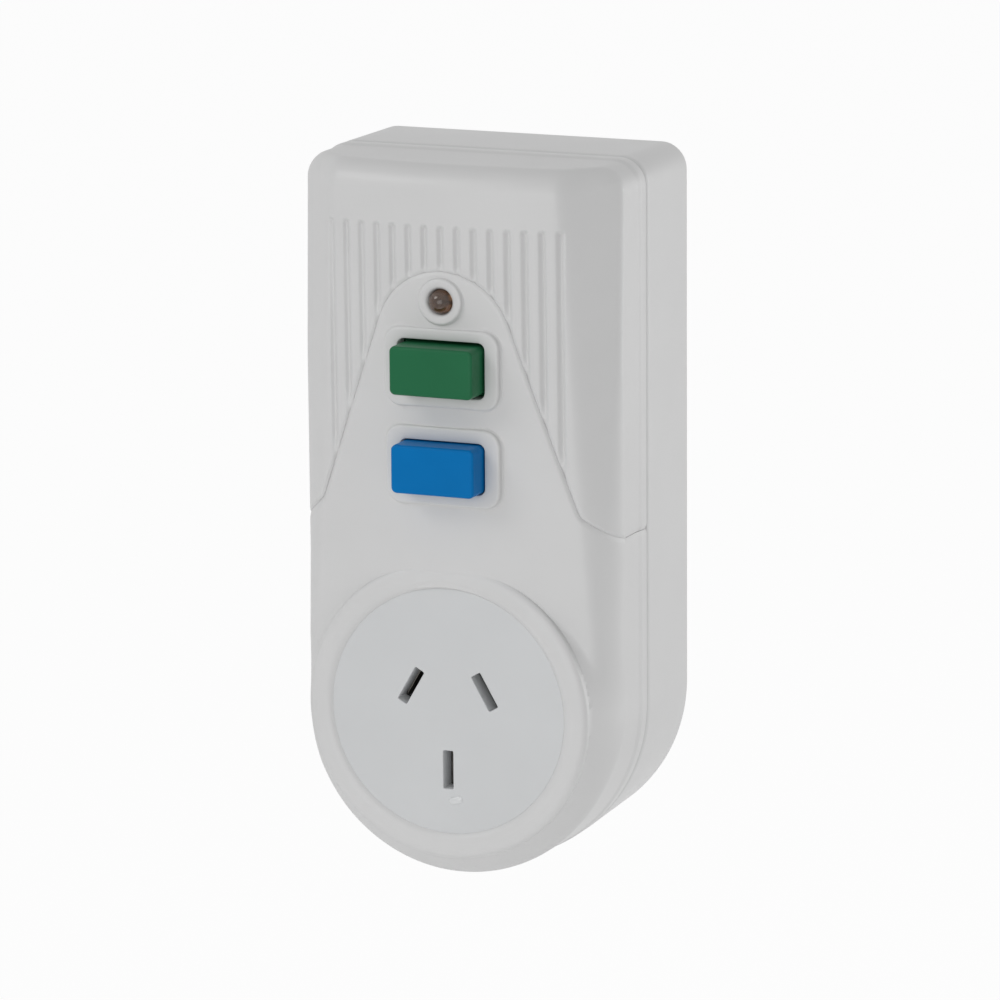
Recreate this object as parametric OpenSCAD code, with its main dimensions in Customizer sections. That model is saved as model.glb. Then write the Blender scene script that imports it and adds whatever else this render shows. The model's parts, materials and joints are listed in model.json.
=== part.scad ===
// Plug-in residual current adapter: a wall plug behind, one outlet in front, test and reset buttons.
// Every module is drawn from the outlet's centre on the ring plane, with y going back to the wall.
// place() then moves it so that the origin is on the rear face, at the centre of the plug pins.

/* [Body] */
// Width of the housing
body_w = 59; // [59:0.5:64]
// Depth from the outlet ring to the rear face
body_d = 39; // [38.5:0.5:46]
// Height of the top above the outlet's centre
top_z = 94.7; // [94.5:0.1:100]
// Radius of the two top corners
corner_r = 4.8; // [4.4:0.1:6.5]
// Wall of the shells
wall = 2.4; // [2:0.1:2.6]
// Depth of the rear shell, from the parting line to the rear face
rear_d = 19.6; // [18.5:0.1:21]
// Depth of the lip in front of the parting line
lip_d = 3.5; // [2:0.5:5]
// Step from the lip to the front side walls
lip_step = 0.3; // [0.2:0.1:0.5]
// Radius of the bowed front
crest_r = 110; // [95:5:140]
// Forward lean of the front, in degrees
lean = 1; // [0.5:0.1:1.4]
// Half width of the front at the outlet, where the flanks would meet the ring plane
flank_x = 23.25; // [22.75:0.25:24.25]
// Taper of the flanks towards the top, in degrees
flank_taper = 2.1; // [1.5:0.1:2.5]
// How far the flanks' round end lies below the outlet's centre
flank_drop = 1.2; // [0:0.1:2]
// Height of the bevel along the top front edge
top_bevel = 3.7; // [2:0.1:4.5]
// Width of the seams between the shells
seam = 0.5; // [0.3:0.1:0.7]

/* [Hood] */
// Number of grooves across the hood
groove_n = 15; // [11:2:15]
// Distance between grooves
groove_pitch = 3; // [2.8:0.1:3]
// Width of one groove
groove_w = 1.4; // [1:0.1:1.6]
// Depth of one groove
groove_t = 0.55; // [0.3:0.05:0.65]
// Height of the grooves' top ends above the outlet's centre
groove_top = 84.6; // [82:0.1:86]
// Height of the top of the bell-shaped seam above the lamp
bell_over = 5; // [4.5:0.1:6.5]
// Radius at the top of the bell
bell_r = 12.5; // [12:0.1:13.5]
// Slope of the bell's sides, in degrees
bell_slope = 70; // [68:0.5:71]
// Slope of the seam across the flanks, in degrees
foot_slope = 40; // [36:0.5:44]
// Radius between the two slopes
flare_r = 3; // [2.5:0.1:4]
// Height of the seam along the sides
shoulder_z = 30.5; // [29:0.5:33]
// Reach of the cover's lap behind the hood
lap_w = 2; // [1.5:0.1:2.5]
// Thickness of the lap
lap_t = 1.2; // [1:0.1:1.5]

/* [Outlet] */
// Distance from the plug pins down to the outlet
outlet_drop = 75; // [73:0.5:76]
// Radius of the outlet's ring
ring_r = 26.3; // [25.8:0.1:26.8]
// Radius of the recessed outlet face
face_r = 21.5; // [21:0.1:22]
// Depth of the recess
recess = 1.1; // [0.8:0.1:1.5]
// Thickness of the outlet face
face_t = 2.5; // [2:0.1:3]
// Flange that holds the outlet face behind the ring
face_flange = 1.3; // [1:0.1:1.6]
// Radius of the base behind the outlet face
base_r = 19.8; // [19:0.1:20]
// Depth of the base
base_d = 12.4; // [11:0.1:12.8]
// Length of a slot
slot_l = 7; // [6.8:0.1:7.4]
// Width of a slot
slot_w = 2; // [1.9:0.1:2.2]
// Thickness of the contact metal
leaf_t = 0.8; // [0.6:0.1:1]
// Gap between the two leaves of a receptacle
leaf_gap = 1.5; // [1.4:0.1:1.6]
// Width of the contact bars
bar_w = 5; // [4:0.5:5.5]

/* [Pins] */
// Distance of the active and neutral pins from the pattern's centre
pin_r = 7.92; // [7.8:0.01:8]
// Distance of the earth pin from the pattern's centre
earth_r = 10.31; // [10.2:0.01:10.4]
// Slant of the active and neutral pins, in degrees
pin_slant = 30; // [29:0.5:31]
// Width of a pin's blade
pin_w = 6.35; // [6.2:0.01:6.4]
// Thickness of a pin's blade
pin_t = 1.63; // [1.55:0.01:1.65]
// Length of the active and neutral pins
pin_l = 17.06; // [16.5:0.01:17.5]
// Length of the earth pin
earth_l = 19.94; // [19.5:0.01:20.3]
// Length of the insulating sleeves
sleeve_l = 8.5; // [7.5:0.1:9]
// Thickness of the sleeves
sleeve_t = 0.4; // [0.3:0.05:0.45]

/* [Buttons] */
// Width of a button
button_w = 15.2; // [14:0.1:16]
// Height of a button
button_h = 8.4; // [8:0.1:9.4]
// How far a button stands out of the front
button_out = 5.1; // [4.4:0.1:5.6]
// Corner radius of a button
button_r = 1; // [0.5:0.1:1.5]
// Height of the reset button above the outlet's centre
reset_z = 60; // [59.5:0.1:60.5]
// Distance from the reset button down to the test button
button_pitch = 17; // [16.5:0.1:18]
// Travel of the reset button
reset_travel = 2.5; // [2:0.1:2.8]
// Travel of the test button
test_travel = 1.5; // [1:0.1:2]
// Width of the raised frame round a button
bezel_w = 21.2; // [20:0.1:22]
// Height of the raised frame
bezel_h = 13.6; // [13:0.1:14.4]
// How far the frame stands out of the front
bezel_out = 0.6; // [0.4:0.1:1]
// Corner radius of the frame
bezel_r = 3; // [2:0.1:4]
// Flange inside that keeps a button in
button_flange = 1.4; // [1:0.1:1.6]

/* [Lamp] */
// Height of the lamp above the reset button
lamp_rise = 11.5; // [11:0.1:12]
// Radius of the lamp's dome
lamp_r = 2.1; // [1.9:0.1:2.4]
// Radius of the collar round the lamp
collar_r = 4; // [3.6:0.1:4.2]
// How far the collar stands out
collar_out = 0.7; // [0.4:0.1:1]
// How far the dome stands out of the collar
lamp_out = 1.2; // [0.8:0.1:1.6]

/* [Switch] */
// Radius of the reset stem
stem_r = 2; // [1.8:0.1:2.2]
// Radius of the stem's head
head_r = 3.4; // [3.2:0.1:3.6]
// Travel of the carrier, latch and plunger when it trips
trip_travel = 2; // [1.6:0.1:2]
// Length of a button spring pressed solid
spring_solid = 2.8; // [2.6:0.1:3]
// Thickness of the plate that the button springs push against
seat_t = 1; // [0.8:0.1:1.2]
// Room from an end of the contact carrier out to the rear shell's tongue
carrier_room = 4.9; // [4.5:0.1:5.5]
// Height of the contact carrier
carrier_h = 11; // [10.5:0.1:11.5]
// Thickness of the contact carrier
carrier_t = 3; // [2.6:0.1:3.2]
// Distance of the contacts from the ends of the carrier
contact_in = 3.6; // [3.4:0.1:4.1]
// Distance of the contacts above and below the reset button's axis
contact_z = 4; // [3.8:0.1:4.1]
// Radius of a contact
contact_r = 1.6; // [1.4:0.1:1.7]
// Height of a contact
contact_h = 0.6; // [0.5:0.1:0.8]
// Thickness of the latch plate
latch_t = 1.2; // [1:0.1:1.4]
// Radius of the solenoid's coil
coil_r = 5.6; // [5:0.1:5.8]
// Length of the solenoid's coil
coil_l = 9; // [8:0.1:9.4]
// Radius of the plunger
plunger_r = 1.9; // [1.7:0.1:2]

/* [Board] */
// Depth of the board's front face behind the ring plane
board_y = 25; // [24.8:0.1:25.4]
// Thickness of the board
board_t = 1.6; // [1.2:0.1:1.6]
// Lower edge of the board
board_z0 = 28; // [27:0.5:30]
// Upper edge of the board
board_z1 = 84.5; // [84:0.1:84.8]
// Height of the toroid's centre
toroid_z = 79; // [78.6:0.1:79.4]
// Outer radius of the toroid's core
core_r = 7.2; // [6.8:0.1:7.4]
// Inner radius of the toroid's core
core_bore = 4.8; // [4.6:0.1:5]
// Depth of the toroid's core
core_d = 5; // [4:0.1:6]
// Thickness of the toroid's winding
winding_t = 0.6; // [0.5:0.05:0.7]
// Radius of the feed wires with their insulation
wire_r = 1.1; // [0.9:0.05:1.2]

/* [Screws] */
// Radius of the housing screws
screw_r = 1.45; // [1.25:0.05:1.5]
// Radius of the bosses that take the housing screws
boss_r = 3; // [2.8:0.1:3.1]
// Depth of the recesses for the screw heads
head_recess = 5; // [4:0.1:6]
// Radius of the board screws
board_screw_r = 1.1; // [0.9:0.05:1.2]

/* [Fits] */
// Gap round pieces that seat in one another
fit = 0.1; // [0.05:0.01:0.15]
// Gap round pieces that slide
slide = 0.3; // [0.25:0.01:0.4]

/* [Hidden] */
$fn = 48;

far = 300;
half_w = body_w / 2;
parting_y = body_d - rear_d;
rear_in = body_d - wall;
tongue_in = wall + lip_step + fit;
tongue_t = 1.2;
inner_x = half_w - tongue_in - tongue_t;
test_z = reset_z - button_pitch;
lamp_z = reset_z + lamp_rise;
bell_top = lamp_z + bell_over;

function crest_y(x, z) = x * x / (2 * crest_r) - tan(lean) * (z - ring_r);

// Outlet stack
front_y = -10;
face_back = recess + face_t;
flange_t = 1;
base_y = face_back + flange_t;
face_flange_r = face_r + face_flange;
pin_x = pin_r * cos(pin_slant);
pin_z = pin_r * sin(pin_slant);
pin_gap = 0.3;
blade_stop = recess + pin_l + pin_gap;
earth_stop = recess + earth_l + pin_gap;
receptacle_w = 2 * leaf_t + leaf_gap;
receptacle_over = 0.2;
receptacle_l = slot_l + 2 * receptacle_over;

// Plug pins inside the housing
wire_clear = 0.5;
wire_tail = 0.9;
wire_back = board_y + board_t + wire_clear + wire_r;
pin_end = wire_back + wire_r + wire_tail;
pin_flange_t = 1.2;
pin_flange_over = 1.2;
earth_bar_clear = 1;
earth_bar_in = 0.5;
load_shelf = 3.8;
earth_shelf = 6;
earth_bar_back = board_y + board_t + earth_bar_clear + leaf_t;

// Button stack
stem_flange_t = 1.2;
reset_flange_y = crest_y(button_w / 2 + button_flange, reset_z) + wall + slide;
test_flange_y = crest_y(button_w / 2 + button_flange, test_z) + wall + slide;
seat_y = reset_flange_y + stem_flange_t + reset_travel + spring_solid;
spring_wire = 0.3;
spring_turns = 4;
spring_gap = 0.7;
test_stem_r = 1.5;
test_tip_reach = 1.5;
test_tip = seat_y + seat_t + test_tip_reach;
test_bridge_r = 3.2;
test_bridge_t = 0.8;
test_pad_x = 2;
test_pad_r = 0.8;
contact_air = 0.05;

// Lamp, whose flange lies behind the cover's lap
face_gap = 0.2;
lamp_back = crest_y(0, lamp_z) + wall + lap_t + face_gap;
lamp_flange_t = 1.2;
lamp_flange = 0.5;
lead_r = 0.3;
lead_x = 1.27;
lead_bend = 1.6;
lead_side = 2;

// Switch stack, front to back
carrier_x = inner_x - carrier_room;
contact_x = carrier_x - contact_in;
fixed_face = seat_y + leaf_t / 2 + contact_h;
moving_face = fixed_face + contact_air;
bridge_t = 0.7;
bridge_y = moving_face + contact_h;
carrier_y = bridge_y + bridge_t;
carrier_back = carrier_y + carrier_t;
latch_y = carrier_back + face_gap;
head_y = latch_y;
head_cone = head_r - stem_r;
head_cyl = 1;
head_tip_r = 1.5;
nib_gap = 0.28;
nib_low = stem_r + nib_gap;
latch_half = 5.5;
latch_bar = 2.5;
latch_over = 2.5;
latch_top = reset_z + carrier_h / 2 + trip_travel + latch_over;
latch_flange_t = 1.2;
latch_flange_half = 3;
latch_window = 0.9;
head_gap = 0.5;
carrier_bore = head_r + head_gap;
guide_t = 1.4;
guide_h = 6;
guide_lip = 1;
guide_over = 0.9;
opening_x = 9.5;
opening_r = 1.5;
opening_wire = 0.25;
opening_turns = 3;
opening_pocket = 2.2;
opening_back = carrier_y + opening_pocket;

// Solenoid stack, from the latch up
frame_t = 1;
bobbin_t = 1;
plunger_set = 0.7;
plunger_y = latch_y + latch_t + plunger_set;
plunger_reach = 1.8;
coil_z0 = latch_top + plunger_reach + frame_t + bobbin_t;
coil_z1 = coil_z0 + coil_l;
solenoid_top = coil_z1 + bobbin_t + frame_t;
plunger_spring_solid = 2.3;
plunger_spring_l = trip_travel + plunger_spring_solid;
plunger_spring_gap = 0.75;
plunger_head_t = 1;
plunger_head_r = 3.2;
bobbin_wall = 0.7;
bobbin_over = 0.4;
bobbin_r = coil_r + bobbin_over;
frame_side = 0.5;
frame_half = bobbin_r + frame_side;

// Contact frame
frame_wall = 1.6;
frame_gap = 0.4;
frame_x = carrier_x + frame_gap;
frame_over = 1.5;
frame_h = carrier_h + 2 * frame_over;
frame_front = 2;
arm_h = 2.4;
seat_half = opening_x + opening_r + head_gap;
test_seat_x = 7;
test_seat_down = 6;

// Screws
top_boss_x = half_w - wall - boss_r - 2 * face_gap;
top_boss_z = top_z - wall - boss_r - fit;
boss_clear = 0.6;
low_boss_r = half_w - wall - boss_r - boss_clear;
low_boss = low_boss_r * sin(45);
top_spots = [[-top_boss_x, top_boss_z], [top_boss_x, top_boss_z]];
low_spots = [[-low_boss, -low_boss], [low_boss, -low_boss]];
screw_spots = concat(top_spots, low_spots);
rear_boss_r = boss_r + face_gap;
screw_head_over = 1.35;
screw_head_r = screw_r + screw_head_over;
screw_head_t = 1.8;
cross_l = 3;
cross_w = 0.8;
cross_d = 1;
tube_wall = 1.2;
tube_floor = 2;
tube_r = screw_head_r + tube_wall;
boss_front = 6;
screw_bite = 7;
support_x = 12.5;
support_drop = 9;
board_gap = 3.1;
board_x = half_w - wall - board_gap;
board_screw_in = 3;
board_screw_x = board_x - board_screw_in;
board_screw_up = 4;
board_screw_rise = 2;
toroid_clear = 1.7;
board_spots = [
    [-board_screw_x, toroid_z + board_screw_rise],
    [board_screw_x, toroid_z - core_r - winding_t - toroid_clear],
    [-board_screw_x, board_z0 + board_screw_up],
    [board_screw_x, board_z0 + board_screw_up]];
board_post_r = 2.6;
board_head_r = 1.9;
board_head_t = 1.2;
board_slot_l = 2.4;
board_slot_w = 0.6;
board_bite = 6;

// Toroid and wires
toroid_x = (frame_half + inner_x) / 2;
toroid_back = board_y - contact_air;
toroid_front = toroid_back - core_d - 2 * winding_t;
wire_hole_rim = 0.4;
wire_hole_r = core_bore - winding_t - wire_hole_rim;
wire_split_x = 1.3;
wire_split_z = 1;
wire_front = seat_y + face_gap;
wire_bar = 4.4;
wire_drop = contact_z + contact_r + wire_bar;
wire_joint = 1.06;
active_run = 3.5;
neutral_run = 3;

// Pieces on the board
chip_l = 10;
chip_w = 6.4;
chip_t = 2.8;
chip_lift = 0.4;
chip_leg = 0.5;
chip_leg_d = 2;
chip_pitch = 2.54;
chip_gap = 1;
thyristor_w = 8;
thyristor_t = 4;
thyristor_h = 10;
thyristor_lift = 0.6;
thyristor_x = 13;
thyristor_up = 5;
thyristor_leg_w = 0.6;
thyristor_leg_d = 2.2;
thyristor_leg_l = 2;
thyristor_pitch = 2.3;
capacitor_r = 4;
capacitor_h = 11;
capacitor_in = 1.5;
capacitor_drop = 3.5;
varistor_r = 5;
varistor_t = 4;
varistor_x = 12;
varistor_up = 8;
diode_r = 1.35;
diode_l = 5.2;
diode_pitch = 3.4;
diode_in = 2;
diode_up = 17.5;
resistor_r = 1.7;
resistor_l = 8;
resistor_x = 4.5;
resistor_up = 2;

// Moves a piece from the outlet's frame to the part's frame
module place() translate([0, -body_d, -outlet_drop]) children();

// Extrudes an outline in x and z from y0 back to y1
module slab(y0, y1) translate([0, y1, 0]) rotate([90, 0, 0]) linear_extrude(y1 - y0) children();

// A rod along y
module rod_y(r, y0, y1) slab(y0, y1) circle(r);

// A cone along y, r0 at y0 and r1 at y1
module cone_y(r0, r1, y0, y1) {
    translate([0, y1, 0]) rotate([90, 0, 0]) cylinder(r1 = r1, r2 = r0, h = y1 - y0);
}

// Extrudes an outline in y and z from x0 to x1
module prism_x(x0, x1) translate([x0, 0, 0]) rotate([90, 0, 90]) linear_extrude(x1 - x0) children();

// A block from one corner to the other
module block(a, b) translate(a) cube(b - a);

// A rectangle with round corners, about its centre
module round_rect(w, h, r) {
    square([w, h - 2 * r], center = true);
    square([w - 2 * r, h], center = true);
    for (x = [-1, 1], z = [-1, 1]) translate([x * (w / 2 - r), z * (h / 2 - r)]) circle(r);
}

// The housing's outline, round at the bottom, drawn in by inset
module outline(inset) {
    w = half_w - inset;
    circle(w, $fn = 96);
    translate([-w, 0]) square([2 * w, top_z - corner_r]);
    translate([corner_r - half_w, 0]) square([body_w - 2 * corner_r, top_z - inset]);
    for (s = [-1, 1]) translate([s * (half_w - corner_r), top_z - corner_r]) circle(corner_r - inset);
}

// Everything inside one flank's plane
module flank_side(inset) {
    translate([flank_x - inset * sqrt(2), 0, 0])
        rotate([0, 0, -45])
            rotate([0, -atan(tan(flank_taper) / sqrt(2)), 0])
                translate([-far, -far / 2, -far / 2])
                    cube(far);
}

// Heights above the middle of the flanks' round end between which both lie in each other
round_low = 0.8;
round_high = 4;

// The bevelled, bowed and leaning front form, drawn in by inset
module form(inset) {
    cone_back = body_d - front_y;
    cone_r = flank_x + tan(flank_taper) * flank_drop - inset * sqrt(2);
    bevel_z = top_z - top_bevel + tan(lean) * (top_z - ring_r) - inset * sqrt(2);
    intersection() {
        slab(front_y, cone_back) outline(lip_step + inset);
        translate([0, crest_r, ring_r])
            rotate([lean, 0, 0])
                translate([0, 0, -far / 2])
                    cylinder(r = crest_r - inset, h = far, $fn = 360);
        union() {
            intersection() {
                flank_side(inset);
                mirror([1, 0, 0]) flank_side(inset);
                translate([-far / 2, -far / 2, round_low - flank_drop]) cube(far);
            }
            translate([0, 0, -flank_drop]) intersection() {
                cone_y(cone_r + front_y, cone_r + cone_back, front_y, cone_back, $fn = 96);
                translate([-far / 2, -far / 2, round_high - far]) cube(far);
            }
        }
        translate([0, 0, bevel_z]) rotate([45, 0, 0]) translate([-far / 2, -far / 2, -far]) cube(far);
    }
}

// Front shell before it is split into cover and hood
module front_shell() {
    difference() {
        union() {
            intersection() {
                form(0);
                slab(front_y, parting_y - seam / 2) square(far, center = true);
            }
            slab(parting_y - lip_d, parting_y - seam / 2) outline(0);
        }
        form(wall);
    }
}

// How far the lap reaches into the front's own wall
lap_bite = 0.4;

// Right half of the bell seam, from its top to the shoulder, moved out by d
bell_end = [bell_r * sin(bell_slope), bell_top - bell_r + bell_r * cos(bell_slope)];
bell_far = bell_end[0] * sin(bell_slope) + bell_end[1] * cos(bell_slope) + flare_r;
foot_far = half_w * sin(foot_slope) + shoulder_z * cos(foot_slope) + flare_r;
flare_x = (bell_far * cos(foot_slope) - foot_far * cos(bell_slope)) / sin(bell_slope - foot_slope);
flare_z = (foot_far * sin(bell_slope) - bell_far * sin(foot_slope)) / sin(bell_slope - foot_slope);
bell_steps = 14;
flare_steps = 4;
function bell_half(d) = concat(
    [for (i = [0:bell_steps]) let (a = bell_slope * i / bell_steps)
        [(bell_r + d) * sin(a), bell_top - bell_r + (bell_r + d) * cos(a)]],
    [for (i = [0:flare_steps]) let (a = bell_slope + (foot_slope - bell_slope) * i / flare_steps)
        [flare_x - (flare_r - d) * sin(a), flare_z - (flare_r - d) * cos(a)]],
    [[body_w, shoulder_z + d / cos(foot_slope) - half_w * tan(foot_slope)], [body_w, -body_w]]);

// Everything inside the bell and below the shoulder
module bell(d) {
    right = bell_half(d);
    left = [for (i = [len(right) - 1:-1:1]) [-right[i][0], right[i][1]]];
    polygon(concat(right, left));
}

// A wire through a list of points, with a round joint at each bend
module wire(points, r) {
    for (i = [0:len(points) - 2]) {
        v = points[i + 1] - points[i];
        l = norm(v);
        translate(points[i])
            rotate([0, acos(v[2] / l), atan2(v[1], v[0])])
                cylinder(r = r, h = l, $fn = 24);
    }
    for (i = [1:len(points) - 2]) translate(points[i]) sphere(r * wire_joint, $fn = 24);
}

// A wound spring along z from 0 to l
module coil_spring(r, wire, l, turns) {
    sides = 6;
    rings = 8 * turns;
    points = [for (i = [0:rings]) let (a = 360 * turns * i / rings, z = wire + (l - 2 * wire) * i / rings)
        for (j = [0:sides - 1]) let (t = 360 * j / sides, p = r + wire * cos(t))
            [p * cos(a), p * sin(a), z + wire * sin(t)]];
    side_faces = [for (i = [0:rings - 1], j = [0:sides - 1])
        let (k = (j + 1) % sides, a = i * sides + j, b = i * sides + k, c = a + sides, d = b + sides)
            each [[a, b, d], [a, d, c]]];
    start_face = [for (j = [1:sides - 2]) [0, j + 1, j]];
    last = rings * sides;
    end_face = [for (j = [1:sides - 2]) [last, last + j, last + j + 1]];
    polyhedron(points, concat(side_faces, start_face, end_face));
}

// A spring along y from y0 back to y1
module spring_y(r, wire, y0, y1, turns) {
    translate([0, y1, 0]) rotate([90, 0, 0]) coil_spring(r, wire, y1 - y0, turns);
}

// Puts pieces at each of a list of places in x and z
module at_spots(spots) for (p = spots) translate([p[0], 0, p[1]]) children();

// Three rectangles in the pattern of the pins, centred on it
module pin_pattern(w, l) {
    for (s = [-1, 1]) at_pin(s) square([w, l], center = true);
    translate([0, -earth_r]) square([w, l], center = true);
}

// Puts a shape drawn upright at the active (-1) or neutral (1) pin of a pattern
module at_pin(side) translate([side * pin_x, pin_z]) rotate(side * pin_slant) children();

// Shells

module rear_shell() place() color("gainsboro") {
    tongue_d = 2;
    tongue_root = 3;
    shell_y = parting_y + seam / 2;
    difference() {
        union() {
            difference() {
                slab(shell_y, body_d) outline(0);
                slab(shell_y - 1, rear_in) outline(wall);
            }
            difference() {
                union() {
                    slab(parting_y - tongue_d, parting_y + tongue_root) outline(tongue_in);
                    slab(shell_y, parting_y + tongue_root) outline(wall / 2);
                }
                slab(parting_y - tongue_d - 1, parting_y + tongue_root + 1) outline(tongue_in + tongue_t);
                at_spots(screw_spots) rod_y(boss_r + slide, 0, shell_y);
            }
            intersection() {
                at_spots(screw_spots) {
                    rod_y(rear_boss_r, shell_y, rear_in + 1);
                    rod_y(tube_r, body_d - head_recess - tube_floor, rear_in + 1);
                }
                slab(0, body_d) outline(wall / 2);
            }
            at_spots(board_spots) rod_y(board_post_r, board_y + board_t, rear_in + 1);
            for (s = [-1, 1])
                translate([s * support_x, 0, -support_drop])
                    rod_y(boss_r, base_y + base_d, rear_in + 1);
        }
        at_spots(screw_spots) {
            rod_y(screw_r + fit, shell_y - 1, body_d + 1);
            rod_y(screw_head_r + slide, body_d - head_recess, body_d + 1);
        }
        at_spots(board_spots) rod_y(board_screw_r + fit, board_y, board_y + board_t + board_bite + 1);
        translate([0, 0, outlet_drop])
            slab(rear_in - 1, body_d + 1)
                pin_pattern(pin_t + 2 * fit, pin_w + 2 * fit);
    }
}

module front_cover() place() color("whitesmoke") {
    hole_gap = 0.35;
    lap_hold = 3;
    lamp_y = crest_y(0, lamp_z);
    difference() {
        union() {
            intersection() {
                front_shell();
                slab(front_y, body_d) bell(-seam / 2);
            }
            intersection() {
                difference() {
                    form(wall - lap_bite);
                    form(wall + lap_t);
                }
                slab(front_y, parting_y - lip_d) difference() {
                    bell(lap_w);
                    bell(-lap_hold);
                }
            }
            rod_y(ring_r, 0, boss_front, $fn = 96);
            for (z = [reset_z, test_z]) button_frame(z);
            translate([0, 0, lamp_z]) rod_y(collar_r, lamp_y - collar_out, lamp_y + wall);
            at_spots(low_spots) rod_y(boss_r, boss_front - 1, parting_y - seam / 2);
        }
        rod_y(face_r, -1, body_d, $fn = 96);
        rod_y(face_flange_r + fit, face_back, boss_front + 1, $fn = 96);
        for (z = [reset_z, test_z]) translate([0, 0, z])
            slab(front_y, parting_y)
                round_rect(button_w + 2 * hole_gap, button_h + 2 * hole_gap, button_r + hole_gap);
        translate([0, 0, lamp_z]) rod_y(lamp_r + fit, front_y, parting_y);
        at_spots(low_spots) rod_y(screw_r + fit / 2, parting_y - screw_bite - 1, parting_y + 1);
    }
}

// Raised frame round a button
module button_frame(z) {
    y = crest_y(0, z);
    translate([0, 0, z]) slab(y - bezel_out, y + wall / 2) round_rect(bezel_w, bezel_h, bezel_r);
}

module hood() place() color("whitesmoke") {
    groove_r = (groove_w * groove_w / 4 + groove_t * groove_t) / (2 * groove_t);
    difference() {
        union() {
            difference() {
                front_shell();
                slab(front_y, body_d) bell(seam / 2);
                intersection() {
                    form(wall - lap_bite - fit);
                    slab(front_y, parting_y - lip_d + fit) bell(lap_w + fit);
                }
            }
            intersection() {
                at_spots(top_spots) rod_y(boss_r, 0, parting_y - seam / 2);
                form(wall / 2);
            }
        }
        for (i = [0:groove_n - 1]) {
            x = (i - (groove_n - 1) / 2) * groove_pitch;
            translate([x, crest_y(x, groove_top) - groove_r + groove_t, groove_top])
                rotate([lean, 0, 0])
                    translate([0, 0, -groove_top + shoulder_z])
                        cylinder(r = groove_r, h = groove_top - shoulder_z, $fn = 32);
        }
        at_spots(top_spots) rod_y(screw_r + fit / 2, parting_y - screw_bite - 1, parting_y + 1);
    }
}

// Outlet

module outlet_face() place() color("aliceblue") difference() {
    union() {
        rod_y(face_r - fit, recess, face_back, $fn = 96);
        rod_y(face_flange_r, face_back, base_y, $fn = 96);
    }
    slab(recess - 1, base_y + 1) pin_pattern(slot_w, slot_l);
}

module outlet_base() place() color("ivory") difference() {
    rod_y(base_r, base_y, base_y + base_d);
    slab(base_y - 1, base_y + base_d + 1) pin_pattern(receptacle_w + 2 * fit, receptacle_l + 2 * fit);
}

// Two spring leaves joined at the back
module receptacle(stop) difference() {
    slab(base_y + fit, stop + leaf_t) square([receptacle_w, receptacle_l], center = true);
    slab(0, stop) square([leaf_gap, receptacle_l + 1], center = true);
}

// Receptacle, bar and fixed contact of one pole
module load_side(side) {
    x0 = side * contact_x - bar_w / 2;
    x1 = side * contact_x + bar_w / 2;
    low_z = pin_z - bar_w / 2;
    shelf_z = board_z0 - load_shelf;
    bar_y = fixed_face - contact_h - leaf_t;
    translate([side * pin_x, 0, pin_z]) rotate([0, -side * pin_slant, 0]) receptacle(blade_stop);
    block([min(x0, side * pin_x), blade_stop, low_z],
        [max(x1, side * pin_x), blade_stop + leaf_t, low_z + bar_w]);
    block([x0, blade_stop, low_z], [x1, blade_stop + leaf_t, shelf_z + leaf_t]);
    block([x0, bar_y, shelf_z], [x1, blade_stop + leaf_t, shelf_z + leaf_t]);
    block([x0, bar_y, shelf_z], [x1, bar_y + leaf_t, reset_z - contact_z + contact_r]);
    translate([side * contact_x, 0, reset_z - contact_z]) rod_y(contact_r, bar_y, fixed_face);
}

module active_receptacle() place() color("goldenrod") load_side(-1);

module neutral_receptacle() place() color("goldenrod") load_side(1);

module earth_receptacle() place() color("goldenrod") {
    half = bar_w / 2 - earth_bar_in;
    shelf_z = board_z0 - earth_shelf;
    translate([0, 0, -earth_r]) receptacle(earth_stop);
    block([-half, earth_stop, -earth_r], [half, earth_stop + leaf_t, shelf_z + leaf_t]);
    block([-half, earth_stop, shelf_z], [half, earth_bar_back, shelf_z + leaf_t]);
    block([-half, earth_bar_back - leaf_t, shelf_z],
        [half, earth_bar_back, outlet_drop - earth_r + pin_w / 2]);
}

// Plug pins

// A blade drawn upright at the origin, from inside the housing out to its tip
module blade(y_in, length, sleeved) {
    tip = 1.2;
    tip_bevel = 0.4;
    tip_y = body_d + length;
    neck = sleeved ? sleeve_t : 0;
    slab(y_in, body_d) square([pin_t, pin_w], center = true);
    slab(body_d, body_d + sleeve_l) square([pin_t - 2 * neck, pin_w - 2 * neck], center = true);
    slab(body_d + sleeve_l, tip_y - tip) square([pin_t, pin_w], center = true);
    slab(tip_y - tip, tip_y) square([pin_t - 2 * tip_bevel, pin_w - 4 * tip_bevel], center = true);
    slab(rear_in - fit - pin_flange_t, rear_in - fit)
        square([pin_t + 2 * pin_flange_over, pin_w + 2 * pin_flange_over], center = true);
}

// Places a 3D piece at the active (-1) or neutral (1) plug pin
module plug_pin(side) {
    translate([side * pin_x, 0, outlet_drop + pin_z]) rotate([0, -side * pin_slant, 0]) children();
}

module active_pin() place() color("gold") plug_pin(-1) blade(pin_end, pin_l, true);

module neutral_pin() place() color("gold") plug_pin(1) blade(pin_end, pin_l, true);

module earth_pin() place() color("gold") translate([0, 0, outlet_drop - earth_r])
    blade(earth_bar_back, earth_l, false);

module sleeve() slab(body_d, body_d + sleeve_l) difference() {
    square([pin_t, pin_w], center = true);
    square([pin_t - 2 * sleeve_t, pin_w - 2 * sleeve_t], center = true);
}

module active_sleeve() place() color("dimgray") plug_pin(-1) sleeve();

module neutral_sleeve() place() color("dimgray") plug_pin(1) sleeve();

// Buttons

// A button's cap and the flange that keeps it in, at the origin's height
module button_cap(z, flange_y) {
    slab(crest_y(0, z) - button_out, flange_y) round_rect(button_w, button_h, button_r);
    slab(flange_y, flange_y + stem_flange_t)
        square([button_w + 2 * button_flange, button_h + 2 * button_flange], center = true);
}

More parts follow.
